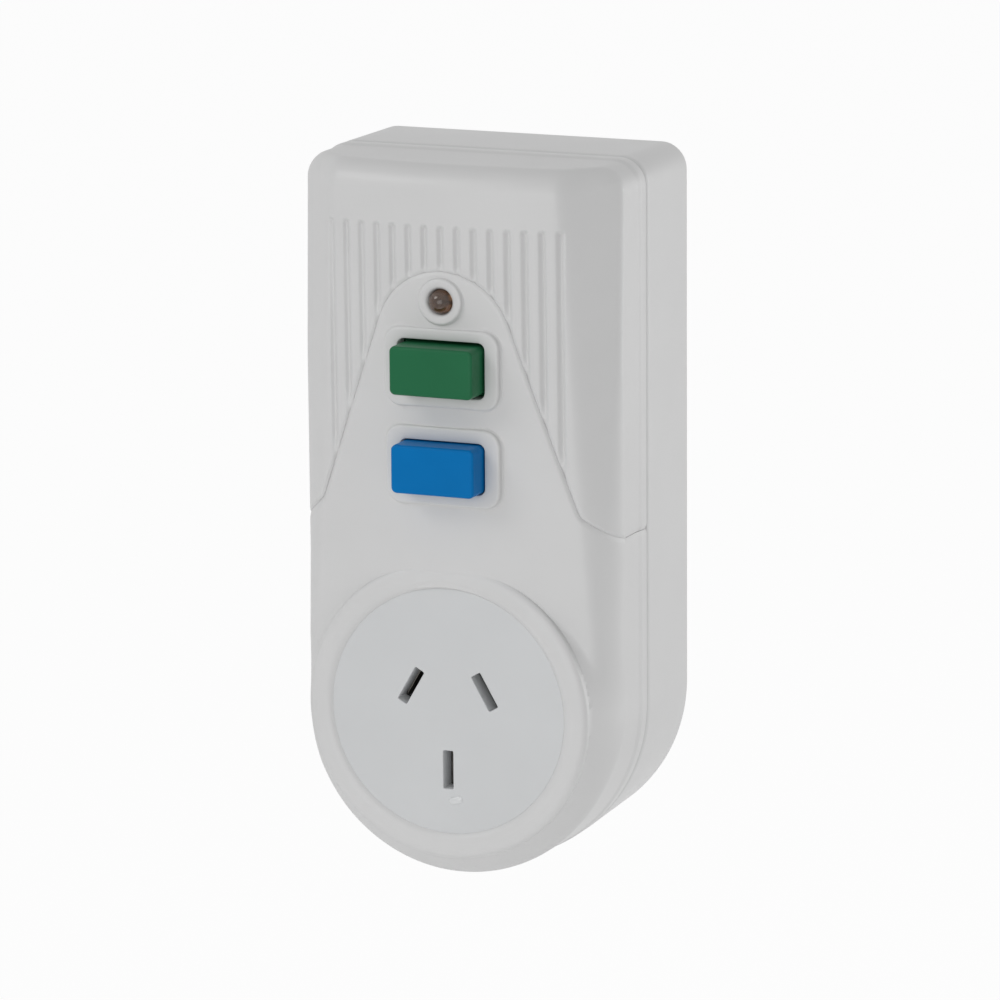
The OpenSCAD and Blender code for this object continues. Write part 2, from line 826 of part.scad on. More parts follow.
// The spring round a button's stem, from its flange back to the seat
module button_spring(r, flange_y) {
    spring_y(r + spring_gap + spring_wire, spring_wire, flange_y + stem_flange_t, seat_y, spring_turns);
}

module reset_button() place() color("seagreen") translate([0, 0, reset_z]) {
    full_y = head_y + head_cone;
    tip_y = full_y + head_cyl;
    button_cap(reset_z, reset_flange_y);
    rod_y(stem_r, reset_flange_y, head_y);
    cone_y(stem_r, head_r, head_y, full_y);
    rod_y(head_r, full_y, tip_y);
    cone_y(head_r, head_tip_r, tip_y, tip_y + head_r - head_tip_r);
}

module reset_spring() place() color("silver") translate([0, 0, reset_z])
    button_spring(stem_r, reset_flange_y);

module test_button() place() color("steelblue") translate([0, 0, test_z]) {
    button_cap(test_z, test_flange_y);
    rod_y(test_stem_r, test_flange_y, test_tip);
}

module test_spring() place() color("silver") translate([0, 0, test_z])
    button_spring(test_stem_r, test_flange_y);

module test_bridge() place() color("peru") translate([0, 0, test_z])
    rod_y(test_bridge_r, test_tip, test_tip + test_bridge_t);

module test_pads() place() color("goldenrod") for (s = [-1, 1])
    translate([s * test_pad_x, 0, test_z])
        rod_y(test_pad_r, test_tip + test_bridge_t + test_travel + contact_air, board_y);

// Switch

module contact_frame() place() color("darkslategray") {
    half = frame_x + frame_wall;
    low_z = reset_z - frame_h / 2;
    difference() {
        slab(seat_y, seat_y + seat_t) {
            translate([-seat_half, reset_z - carrier_h / 2]) square([2 * seat_half, carrier_h]);
            translate([-half, reset_z - arm_h / 2]) square([2 * half, arm_h]);
            translate([-test_seat_x, test_z - test_seat_down])
                square([2 * test_seat_x, reset_z - test_z + test_seat_down]);
        }
        translate([0, 0, reset_z]) rod_y(stem_r + slide, 0, board_y);
        translate([0, 0, test_z]) rod_y(test_stem_r + slide, 0, board_y);
    }
    for (s = [-1, 1]) {
        x = s * (frame_x + frame_wall / 2) - frame_wall / 2;
        block([x, seat_y - frame_front, low_z], [x + frame_wall, board_y, low_z + frame_h]);
    }
}

// Fixed contact on the supply side of one pole
module line_side(side) {
    bar_y = fixed_face - contact_h - leaf_t;
    z0 = reset_z + contact_z - contact_r;
    z1 = reset_z + wire_drop;
    x = side * contact_x;
    block([x - bar_w / 2, bar_y, z0], [x + bar_w / 2, bar_y + leaf_t, z1]);
    block([min(x, side * frame_x), bar_y, z0], [max(x, side * frame_x), bar_y + leaf_t, z0 + 2 * contact_r]);
    translate([x, 0, reset_z + contact_z]) rod_y(contact_r, bar_y, fixed_face);
}

module active_line_contact() place() color("goldenrod") line_side(-1);

module neutral_line_contact() place() color("goldenrod") line_side(1);

module contact_carrier() place() color("tan") translate([0, 0, reset_z]) {
    half = guide_h / 2;
    lip_y = latch_y + latch_t + slide;
    difference() {
        slab(carrier_y, carrier_back) square([2 * carrier_x, carrier_h], center = true);
        rod_y(carrier_bore, 0, board_y);
        for (s = [-1, 1])
            translate([s * opening_x, 0, 0]) rod_y(opening_r + head_gap, 0, opening_back);
    }
    for (s = [-1, 1]) {
        x0 = s * (latch_half + slide);
        x1 = s * (latch_half + slide + guide_t);
        x2 = s * (latch_half - guide_over);
        block([min(x0, x1), carrier_back - fit, -half], [max(x0, x1), lip_y + guide_lip, half]);
        block([min(x2, x1), lip_y, -half], [max(x2, x1), lip_y + guide_lip, half]);
    }
}

// Contact bridge of one pole, with a contact at each end
module bridge(side) translate([side * contact_x, 0, reset_z]) {
    slab(bridge_y, carrier_y) square([bar_w - 1, carrier_h], center = true);
    for (s = [-1, 1]) translate([0, 0, s * contact_z]) rod_y(contact_r, moving_face, bridge_y + bridge_t / 2);
}

module active_bridge() place() color("peru") bridge(-1);

module neutral_bridge() place() color("peru") bridge(1);

module latch() place() color("slategray") {
    nib_z = reset_z - nib_low;
    low_z = nib_z - latch_bar;
    window_top = reset_z + head_r + trip_travel + latch_window;
    back = latch_y + latch_t;
    // Lower bar, whose upper edge slants with the cone of the reset stem's head
    prism_x(-latch_half, latch_half)
        polygon([[latch_y, low_z], [back, low_z], [back, nib_z - latch_t], [latch_y, nib_z]]);
    for (s = [-1, 1])
        block([min(s * carrier_bore, s * latch_half), latch_y, low_z],
            [max(s * carrier_bore, s * latch_half), back, latch_top]);
    block([-latch_half, latch_y, window_top], [latch_half, back, latch_top]);
    block([-latch_flange_half, carrier_y, latch_top - latch_flange_t],
        [latch_flange_half, plunger_y + plunger_r, latch_top]);
}

module opening_springs() place() color("silver") for (s = [-1, 1])
    translate([s * opening_x, 0, reset_z])
        spring_y(opening_r - opening_wire, opening_wire, seat_y + seat_t, opening_back, opening_turns);

// Trip solenoid

module solenoid_frame() place() color("lightslategray") difference() {
    y0 = plunger_y - bobbin_r;
    z0 = coil_z0 - bobbin_t - frame_t;
    union() {
        block([-frame_half, y0, z0], [frame_half, board_y, z0 + frame_t]);
        block([-frame_half, y0, solenoid_top - frame_t], [frame_half, board_y, solenoid_top]);
        block([-frame_half, board_y - frame_t, z0], [frame_half, board_y, solenoid_top]);
    }
    translate([0, plunger_y, 0]) cylinder(r = plunger_r + slide, h = far);
}

module solenoid_bobbin() place() color("white") translate([0, plunger_y, 0]) difference() {
    union() {
        translate([0, 0, coil_z0 - bobbin_t]) {
            cylinder(r = bobbin_r, h = bobbin_t);
            cylinder(r = plunger_r + slide + bobbin_wall, h = coil_l + 2 * bobbin_t);
        }
        translate([0, 0, coil_z1]) cylinder(r = bobbin_r, h = bobbin_t);
    }
    cylinder(r = plunger_r + slide, h = far);
}

module solenoid_coil() place() color("chocolate") translate([0, plunger_y, coil_z0 + fit]) difference() {
    cylinder(r = coil_r, h = coil_l - 2 * fit);
    translate([0, 0, -1]) cylinder(r = plunger_r + slide + bobbin_wall + fit, h = coil_l + 2);
}

module plunger() place() color("silver") translate([0, plunger_y, 0]) {
    top = solenoid_top + plunger_spring_l;
    translate([0, 0, latch_top + face_gap]) cylinder(r = plunger_r, h = top - latch_top - face_gap);
    translate([0, 0, top]) cylinder(r = plunger_head_r, h = plunger_head_t);
}

module plunger_spring() place() color("silver") translate([0, plunger_y, solenoid_top])
    coil_spring(plunger_r + plunger_spring_gap, spring_wire, plunger_spring_l, spring_turns);

// Sensing toroid and its feed wires

// A ring along y
module ring_y(r_in, r_out, y0, y1) slab(y0, y1) difference() {
    circle(r_out);
    circle(r_in);
}

module toroid_core() place() color("dimgray") translate([toroid_x, 0, toroid_z])
    ring_y(core_bore, core_r, toroid_front + winding_t, toroid_back - winding_t);

module toroid_winding() place() color("sienna") translate([toroid_x, 0, toroid_z]) difference() {
    ring_y(core_bore - winding_t, core_r + winding_t, toroid_front, toroid_back);
    room = winding_t - fit / 2;
    ring_y(core_bore - fit / 2, core_r + fit / 2, toroid_front + room, toroid_back - room);
}

module active_wire() place() color("saddlebrown") {
    x = toroid_x - wire_split_x;
    z = toroid_z + wire_split_z;
    run_z = toroid_z + active_run;
    pole_z = outlet_drop + pin_z;
    wire([[-pin_x, pin_end, pole_z], [-pin_x, wire_back, pole_z], [-pin_x, wire_back, run_z],
        [x, wire_back, run_z], [x, wire_back, z], [x, wire_front, z], [-contact_x, wire_front, z],
        [-contact_x, wire_front, reset_z + wire_drop]], wire_r);
}

module neutral_wire() place() color("royalblue") {
    x = toroid_x + wire_split_x;
    z = toroid_z - wire_split_z;
    run_z = toroid_z - neutral_run;
    pole_z = outlet_drop + pin_z;
    wire([[pin_x, pin_end, pole_z], [pin_x, wire_back, pole_z], [pin_x, wire_back, run_z],
        [x, wire_back, run_z], [x, wire_back, z], [x, wire_front, z],
        [x, wire_front, reset_z + wire_drop]], wire_r);
}

// Board and what it carries

module circuit_board() place() color("darkgreen") difference() {
    block([-board_x, board_y, board_z0], [board_x, board_y + board_t, board_z1]);
    at_spots(board_spots) rod_y(board_screw_r + fit, board_y - 1, board_y + board_t + 1);
    translate([toroid_x, 0, toroid_z]) rod_y(wire_hole_r, board_y - 1, board_y + board_t + 1);
}

module lamp() place() color("dimgray") translate([0, 0, lamp_z]) {
    front = crest_y(0, lamp_z) - collar_out - lamp_out;
    translate([0, front + lamp_r, 0]) sphere(lamp_r);
    rod_y(lamp_r, front + lamp_r, lamp_back);
    rod_y(lamp_r + lamp_flange, lamp_back, lamp_back + lamp_flange_t);
}

module lamp_leads() place() color("silver") {
    back = lamp_back + lamp_flange_t;
    bend_y = back + lead_bend;
    side_x = frame_half + lead_side;
    for (s = [-1, 1])
        wire([[s * lead_x, back, lamp_z], [s * lead_x, bend_y, lamp_z], [s * side_x, bend_y, lamp_z],
            [s * side_x, board_y, lamp_z]], lead_r);
}

module control_chip() place() color("black") {
    x0 = test_seat_x + chip_gap;
    first_leg = (chip_l - 3 * chip_pitch - chip_leg) / 2;
    translate([x0, board_y - chip_lift - chip_t, test_z]) cube([chip_l, chip_t, chip_w]);
    for (i = [0:3], z = [test_z - chip_leg, test_z + chip_w])
        translate([x0 + first_leg + i * chip_pitch, board_y - chip_leg_d, z])
            cube([chip_leg, chip_leg_d, chip_leg]);
}

module thyristor() place() color("black") translate([-thyristor_x, board_y, board_z0 + thyristor_up]) {
    translate([-thyristor_w / 2, -thyristor_lift - thyristor_t, 0])
        cube([thyristor_w, thyristor_t, thyristor_h]);
    for (i = [-1:1])
        translate([i * thyristor_pitch - thyristor_leg_w / 2, -thyristor_leg_d, -thyristor_leg_l])
            cube([thyristor_leg_w, thyristor_leg_d, thyristor_leg_l]);
}

module capacitor() place() color("midnightblue")
    translate([capacitor_in - contact_x, 0, toroid_z - capacitor_drop])
        rod_y(capacitor_r, board_y - capacitor_h, board_y);

module varistor() place() color("orange")
    translate([varistor_x, board_y - varistor_r, board_z0 + varistor_up])
        rotate([0, 90, 0]) cylinder(r = varistor_r, h = varistor_t);

module diodes() place() color("black") for (i = [0:3])
    translate([diode_in - board_x + i * diode_pitch, board_y - diode_r, board_z0 + diode_up])
        cylinder(r = diode_r, h = diode_l);

module test_resistor() place() color("burlywood")
    translate([resistor_x, board_y - resistor_r, board_z0 + resistor_up])
        cylinder(r = resistor_r, h = resistor_l);

// Fasteners

module housing_screws() place() color("silver") at_spots(screw_spots) {
    seat = body_d - head_recess;
    top = seat + screw_head_t;
    difference() {
        rod_y(screw_head_r, seat, top);
        slab(top - cross_d, top + 1) {
            square([cross_l, cross_w], center = true);
            square([cross_w, cross_l], center = true);
        }
    }
    rod_y(screw_r, parting_y - screw_bite, seat);
}

module board_screws() place() color("silver") at_spots(board_spots) {
    top = board_y - board_head_t;
    difference() {
        rod_y(board_head_r, top, board_y);
        slab(top - 1, top + board_head_t / 2) square([board_slot_l, board_slot_w], center = true);
    }
    rod_y(board_screw_r, board_y, board_y + board_t + board_bite);
}

rear_shell();
front_cover();
hood();
outlet_face();
outlet_base();
active_receptacle();
neutral_receptacle();
earth_receptacle();
active_pin();
neutral_pin();
earth_pin();
active_sleeve();
neutral_sleeve();
reset_button();
reset_spring();
test_button();
test_spring();
test_bridge();
test_pads();
contact_frame();
active_line_contact();
neutral_line_contact();
contact_carrier();
active_bridge();
neutral_bridge();
latch();
opening_springs();
solenoid_frame();
solenoid_bobbin();
solenoid_coil();
plunger();
plunger_spring();
toroid_core();
toroid_winding();
active_wire();
neutral_wire();
circuit_board();
lamp();
lamp_leads();
control_chip();
thyristor();
capacitor();
varistor();
diodes();
test_resistor();
housing_screws();
board_screws();
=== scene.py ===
import json
import logging
import math
from dataclasses import dataclass
from enum import Enum
from typing import Sequence

import bmesh
import bpy
import numpy as np
from mathutils import Matrix, Vector


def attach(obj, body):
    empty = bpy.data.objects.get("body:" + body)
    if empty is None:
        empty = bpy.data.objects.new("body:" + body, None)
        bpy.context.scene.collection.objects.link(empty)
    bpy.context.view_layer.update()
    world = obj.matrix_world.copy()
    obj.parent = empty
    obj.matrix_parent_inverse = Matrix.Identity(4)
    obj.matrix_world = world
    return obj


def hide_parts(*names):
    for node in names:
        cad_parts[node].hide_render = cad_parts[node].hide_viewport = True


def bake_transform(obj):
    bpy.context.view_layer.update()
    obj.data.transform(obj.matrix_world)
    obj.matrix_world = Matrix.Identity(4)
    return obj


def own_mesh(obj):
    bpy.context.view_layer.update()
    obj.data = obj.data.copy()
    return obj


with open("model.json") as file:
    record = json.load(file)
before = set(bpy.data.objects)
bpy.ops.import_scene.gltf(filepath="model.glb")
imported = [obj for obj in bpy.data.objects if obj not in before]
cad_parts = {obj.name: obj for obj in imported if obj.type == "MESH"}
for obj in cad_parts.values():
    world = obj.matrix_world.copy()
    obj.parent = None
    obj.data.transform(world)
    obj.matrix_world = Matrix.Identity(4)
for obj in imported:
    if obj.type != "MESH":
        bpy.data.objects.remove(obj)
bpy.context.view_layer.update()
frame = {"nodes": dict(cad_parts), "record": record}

LOG = logging.getLogger("rcd_adapter")
MM = 0.001
MOUNTS = {mount["name"]: mount for mount in frame["record"]["mounts"]}
OUTLET_CENTRE = Vector((0.0, *MOUNTS["outlet_ring"]["pos_m"][1:]))
Array = np.ndarray
Point = tuple[float, float]
Place = tuple[float, float, float]

# Sizes that several pieces share, in millimetres from the outlet's centre
RESET_Z = 60.0
TEST_Z = 43.0
LAMP_Z = 71.5
PLUG_Z = 75.0
PLUNGER_Y = 16.43

# How meshes are made: welding distance, nearly nothing, radius left at an axis, and how far a solid
# reaches past a face that it cuts or joins
WELD = 1e-5
TINY = 1e-9
HUB = 0.01
OVERLAP = 1.0

# Angles in degrees from which an edge stays sharp, on moulded pieces and on small round ones
SHARP = 35.0
ROUND_SHARP = 60.0

# Points in a circle: on the outlet ring, the outlet face, most pieces, coil and lens, and stems and posts
RING_STEPS = 256
FACE_STEPS = 192
CIRCLE_STEPS = 96
COIL_STEPS = 64
STEM_STEPS = 48

# Shares along a small soft edge
EASE = np.linspace(0.0, 1.0, 7)


class Joining(Enum):
    """How one solid is worked into another."""

    ADD = "UNION"
    CUT = "DIFFERENCE"


class Pole(Enum):
    """The poles of plug and outlet, by the side they stand on seen from the front."""

    ACTIVE = -1
    NEUTRAL = 1
    EARTH = 0


def places(x: Array | float, y: Array | float, z: Array | float) -> Array:
    """Returns points in space from their coordinates."""
    return np.stack(np.broadcast_arrays(x, y, z), axis=-1)


def full_turn(steps: int) -> Array:
    """Returns angles spread evenly over a circle."""
    return np.linspace(0.0, 2.0 * math.pi, steps, endpoint=False)


def smooth(share: Array) -> Array:
    """Returns a share from 0 to 1 eased at both ends."""
    held = np.clip(share, 0.0, 1.0)
    return held * held * (3.0 - 2.0 * held)


def soft_max(first: Array, second: Array, blend: float) -> Array:
    """Finds the larger of two values, with a soft change between them.

    Args:
        first: one set of values.
        second: the other set.
        blend: difference under which the change is soft.

    Returns:
        The larger values.
    """
    near = np.maximum(blend - np.abs(first - second), 0.0) / blend
    return np.maximum(first, second) + near * near * blend / 4.0


def bend(centre: Point, radius: float, start: float, end: float, steps: int = 6) -> list[Point]:
    """Places points on an arc.

    Args:
        centre: middle of the arc.
        radius: radius of the arc.
        start: first angle in degrees.
        end: last angle in degrees.
        steps: number of points.

    Returns:
        The points, both ends included.
    """
    angles = np.radians(np.linspace(start, end, steps))
    return [(centre[0] + radius * math.cos(angle), centre[1] + radius * math.sin(angle)) for angle in angles]


def round_rect(width: float, height: float, radius: float, turn: float = 0.0, steps: int = 8) -> Array:
    """Makes a rectangle with rounded corners.

    Args:
        width: full width.
        height: full height.
        radius: corner radius.
        turn: angle in degrees by which it is turned.
        steps: points in each corner.

    Returns:
        Points across and up.
    """
    points: list[Point] = []
    for quarter, (side, rise) in enumerate([(1, 1), (-1, 1), (-1, -1), (1, -1)]):
        middle = (side * (width / 2 - radius), rise * (height / 2 - radius))
        points += bend(middle, radius, 90.0 * quarter, 90.0 * quarter + 90.0, steps)
    angle = math.radians(turn)
    spin = np.array([[math.cos(angle), math.sin(angle)], [-math.sin(angle), math.cos(angle)]])
    return np.array(points) @ spin


def section(size: Point, corner: float, spot: Point, grow: float, depth: float, turn: float = 0.0,
            steps: int = 8) -> Array:
    """Makes one upright cross-section with rounded corners.

    Args:
        size: plain width and height.
        corner: plain corner radius.
        spot: place of its middle across and up.
        grow: how far it stands outside the plain size.
        depth: distance behind the outlet ring.
        turn: angle in degrees by which it is turned.
        steps: points in each corner.

    Returns:
        Points in space.
    """
    flat = round_rect(size[0] + 2 * grow, size[1] + 2 * grow, corner + grow, turn, steps)
    return places(flat[:, 0] + spot[0], depth, flat[:, 1] + spot[1])


class Skin:
    """Points and faces of closed surfaces, in millimetres from the outlet's centre."""

    def __init__(self) -> None:
        """Starts without points or faces."""
        self.points: list[Array] = []
        self.faces: list[tuple[int, ...]] = []
        self.count = 0

    def add(self, points: Array) -> Array:
        """Adds points.

        Args:
            points: places, with the three coordinates as the last axis.

        Returns:
            The numbers of the points, in the shape of the other axes.
        """
        flat = points.reshape(-1, 3)
        numbers = np.arange(self.count, self.count + len(flat)).reshape(points.shape[:-1])
        self.points.append(flat)
        self.count += len(flat)
        return numbers

    def weave(self, numbers: Array, around: bool = False, over: bool = False) -> None:
        """Covers a grid of points with four-sided faces.

        Args:
            numbers: point numbers in rows and columns.
            around: whether the last column meets the first.
            over: whether the last row meets the first.
        """
        if around:
            numbers = np.concatenate([numbers, numbers[:, :1]], axis=1)
        if over:
            numbers = np.concatenate([numbers, numbers[:1]], axis=0)
        corners = [numbers[:-1, :-1], numbers[:-1, 1:], numbers[1:, 1:], numbers[1:, :-1]]
        self.faces.extend(map(tuple, np.stack(corners, axis=-1).reshape(-1, 4).tolist()))

    def cap(self, numbers: Sequence[int]) -> None:
        """Closes a ring of points with one face."""
        self.faces.append(tuple(int(number) for number in numbers))

    def loft(self, rings: Sequence, over: bool = False) -> "Skin":
        """Joins rings of points in order.

        Args:
            rings: rings by points by coordinates.
            over: whether the last ring meets the first; otherwise both ends are capped.

        Returns:
            This surface.
        """
        numbers = self.add(np.array(rings))
        self.weave(numbers, around=True, over=over)
        if not over:
            self.cap(numbers[0])
            self.cap(numbers[-1])
        return self

    def lathe(self, profile: Sequence[Point], centre: Point = (0.0, 0.0), steps: int = CIRCLE_STEPS,
              over: bool = False) -> "Skin":
        """Turns a profile round an axis that runs from front to back.

        Args:
            profile: radius and depth of each ring.
            centre: place of the axis across and up.
            steps: points in each ring.
            over: whether the profile is closed on itself; otherwise both ends are capped.

        Returns:
            This surface.
        """
        turn = full_turn(steps)
        return self.loft([places(centre[0] + radius * np.cos(turn), depth, centre[1] + radius * np.sin(turn))
                          for radius, depth in profile], over)

    def draft(self, name: str) -> bpy.types.Object:
        """Makes an object that is still in millimetres.

        Args:
            name: name of the object.

        Returns:
            The object, with its points welded and its faces turned outward.
        """
        mesh = bpy.data.meshes.new(name)
        mesh.from_pydata(np.concatenate(self.points).tolist(), [], self.faces)
        work = bmesh.new()
        work.from_mesh(mesh)
        bmesh.ops.remove_doubles(work, verts=work.verts[:], dist=WELD)
        bmesh.ops.recalc_face_normals(work, faces=work.faces[:])
        work.to_mesh(mesh)
        work.free()
        piece = bpy.data.objects.new(name, mesh)
        bpy.context.scene.collection.objects.link(piece)
        return piece


def combine(piece: bpy.types.Object, skin: Skin, joining: Joining) -> None:
    """Works a second solid into a draft.

    Args:
        piece: the draft that is changed.
        skin: surface of the second solid.
        joining: whether it is added or cut away.
    """
    tool = skin.draft("tool")
    step = piece.modifiers.new("joining", "BOOLEAN")
    step.object = tool
    step.operation = joining.value
    step.solver = "MANIFOLD"
    bpy.context.view_layer.update()
    view = piece.evaluated_get(bpy.context.evaluated_depsgraph_get())
    mesh = bpy.data.meshes.new_from_object(view)
    piece.modifiers.clear()
    piece.data = mesh
    bpy.data.objects.remove(tool)


def release(piece: bpy.types.Object, crease: float = SHARP) -> bpy.types.Object:
    """Turns a draft into metres in the part's frame and smooths it.

    Args:
        piece: the draft.
        crease: angle in degrees from which an edge stays sharp.

    Returns:
        The same object.
    """
    piece.data.transform(Matrix.Translation(OUTLET_CENTRE) @ Matrix.Scale(MM, 4))
    piece.data.shade_smooth()
    piece.data.set_sharp_from_angle(angle=math.radians(crease))
    return piece


def settle(node: bpy.types.Node, **values: float | tuple[float, ...]) -> bpy.types.Node:
    """Sets constants on a node's own inputs.

    Args:
        node: the node.
        values: constants by the inputs' names, with _ for a space.

    Returns:
        The same node.
    """
    for name, value in values.items():
        node.inputs[name.replace("_", " ")].default_value = value
    return node


def add_node(tree: bpy.types.NodeTree, kind: str, **values: float | tuple[float, ...]) -> bpy.types.Node:
    """Returns a new shader node with its constants set."""
    return settle(tree.nodes.new("ShaderNode" + kind), **values)


def join(tree: bpy.types.NodeTree, *links: tuple) -> None:
    """Links nodes.

    Args:
        tree: tree of the nodes.
        links: for each link the first node, its output, the second node and its input.
    """
    for source, out, target, into in links:
        tree.links.new(source.outputs[out], target.inputs[into])


@dataclass(frozen=True)
class Finish:
    """A surface with a fine grain and a slow change of tone.

    Attributes:
        name: name of the material.
        colour: plain colour, linear.
        roughness: middle roughness.
        metallic: share of metal.
        grain: size of the grain in millimetres.
        relief: height of the grain in millimetres.
        tone: share by which the colour changes over the surface.
        stretch: how many times longer the grain is along the depth of the object.
        clear: share of light let through.
        density: refractive index.
        sheen: level of the mirror reflection.
        slow_size: how many times larger the slow change is than the grain.
        layers: finer layers of the grain and of the slow change.
        stops: shares of the slow change at which the darkest and lightest tones are reached.
        gloss: shares of the middle roughness between which it changes.
        strength: strength of the grain.
    """

    name: str
    colour: tuple[float, float, float]
    roughness: float
    metallic: float = 0.0
    grain: float = 0.35
    relief: float = 0.006
    tone: float = 0.03
    stretch: float = 1.0
    clear: float = 0.0
    density: float = 1.49
    sheen: float = 0.5
    slow_size: float = 40.0
    layers: Point = (3.0, 2.0)
    stops: Point = (0.3, 0.7)
    gloss: Point = (0.85, 1.15)
    strength: float = 0.5

    def material(self) -> bpy.types.Material:
        """Returns the material, made once."""
        return bpy.data.materials.get(self.name) or self._make()

    def _make(self) -> bpy.types.Material:
        """Builds the node tree.

        Returns:
            The new material.
        """
        made = bpy.data.materials.new(self.name)
        made.use_nodes = True
        tree = made.node_tree
        shader = settle(tree.nodes["Principled BSDF"], Metallic=self.metallic, Transmission_Weight=self.clear,
                        IOR=self.density, Specular_IOR_Level=self.sheen)
        place = add_node(tree, "TexCoord")
        scaling = add_node(tree, "Mapping", Scale=(1.0, 1.0 / self.stretch, 1.0))
        fine, slow = (add_node(tree, "TexNoise", Scale=1.0 / (size * MM), Detail=detail)
                      for size, detail in zip((self.grain, self.slow_size * self.grain), self.layers))
        tones = add_node(tree, "ValToRGB")
        tints = (1.0 - self.tone, 1.0 + self.tone)
        for stop, share, position in zip(tones.color_ramp.elements, tints, self.stops):
            stop.color = (*(min(1.0, share * part) for part in self.colour), 1.0)
            stop.position = position
        rough = add_node(tree, "MapRange", To_Min=self.gloss[0] * self.roughness,
                         To_Max=min(1.0, self.gloss[1] * self.roughness))
        texture = add_node(tree, "Bump", Distance=self.relief * MM, Strength=self.strength)
        join(tree, (place, "Object", scaling, "Vector"), (scaling, "Vector", fine, "Vector"),
             (scaling, "Vector", slow, "Vector"), (slow, "Fac", tones, "Fac"),
             (tones, "Color", shader, "Base Color"), (fine, "Fac", rough, "Value"),
             (rough, "Result", shader, "Roughness"), (fine, "Fac", texture, "Height"),
             (texture, "Normal", shader, "Normal"))
        return made


SHELL = Finish("shell_satin", (0.60, 0.60, 0.60), 0.42, tone=0.012)
REAR = Finish("rear_satin", (0.60, 0.60, 0.60), 0.42, tone=0.012)
OUTLET = Finish("outlet_satin", (0.575, 0.585, 0.592), 0.38, tone=0.012)
POLISH = Finish("outlet_polish", (0.62, 0.63, 0.635), 0.08, relief=0.0, tone=0.01)
GREEN = Finish("green_gloss", (0.016, 0.128, 0.054), 0.34, tone=0.05, sheen=0.12)
BLUE = Finish("blue_gloss", (0.002, 0.150, 0.42), 0.34, tone=0.05, sheen=0.06)
LENS = Finish("clear_brown", (0.22, 0.145, 0.10), 0.04, relief=0.0, tone=0.05, clear=0.95, density=1.57)
LAMP_CUP = Finish("cup_bright", (0.58, 0.50, 0.44), 0.25, metallic=1.0, tone=0.05)
BASE = Finish("base_matt", (0.16, 0.16, 0.165), 0.55, tone=0.06)
SLEEVE = Finish("sleeve_matt", (0.022, 0.022, 0.024), 0.5, tone=0.08)
PIN_BRASS = Finish("brass_drawn", (0.72, 0.52, 0.22), 0.28, metallic=1.0, stretch=12.0, tone=0.05)
CONTACT_BRASS = Finish("brass_tinned", (0.38, 0.37, 0.34), 0.38, metallic=1.0, stretch=4.0, tone=0.06)
STEEL = Finish("steel_bright", (0.55, 0.55, 0.56), 0.30, metallic=1.0, stretch=6.0, tone=0.06)
COPPER = Finish("copper_wire", (0.70, 0.28, 0.13), 0.32, metallic=1.0, tone=0.08)
BRIDGE = Finish("copper_stamped", (0.75, 0.36, 0.20), 0.30, metallic=1.0, tone=0.06)
FRAME = Finish("frame_matt", (0.32, 0.31, 0.29), 0.5, tone=0.05)
CARRIER = Finish("carrier_matt", (0.42, 0.10, 0.05), 0.48, tone=0.05)
BOBBIN = Finish("bobbin_matt", (0.62, 0.58, 0.46), 0.5, tone=0.05)
FERRITE = Finish("ferrite_dull", (0.03, 0.03, 0.032), 0.6, tone=0.12)
BROWN = Finish("brown_cover", (0.14, 0.055, 0.022), 0.4, tone=0.06)
LIGHT_BLUE = Finish("blue_cover", (0.03, 0.15, 0.45), 0.4, tone=0.06)
LAMINATE = Finish("laminate_green", (0.03, 0.16, 0.06), 0.35, tone=0.10)
CHIP = Finish("chip_matt", (0.02, 0.02, 0.021), 0.55, tone=0.10)
CAN = Finish("capacitor_cover", (0.03, 0.05, 0.12), 0.3, tone=0.08)
VARISTOR = Finish("varistor_dip", (0.05, 0.16, 0.42), 0.45, tone=0.10)
RESISTOR = Finish("resistor_dip", (0.45, 0.36, 0.22), 0.45, tone=0.10)


def install(piece: bpy.types.Object, finish: Finish, slot: str, body: str, *nodes: str) -> None:
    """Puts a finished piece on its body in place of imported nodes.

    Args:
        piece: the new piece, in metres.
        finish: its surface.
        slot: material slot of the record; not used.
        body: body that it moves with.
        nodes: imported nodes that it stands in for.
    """
    piece.data.materials.clear()
    piece.data.materials.append(finish.material())
    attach(piece, body)
    if nodes:
        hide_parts(*nodes)
    LOG.info("%s on %s, %d points", piece.name, body, len(piece.data.vertices))


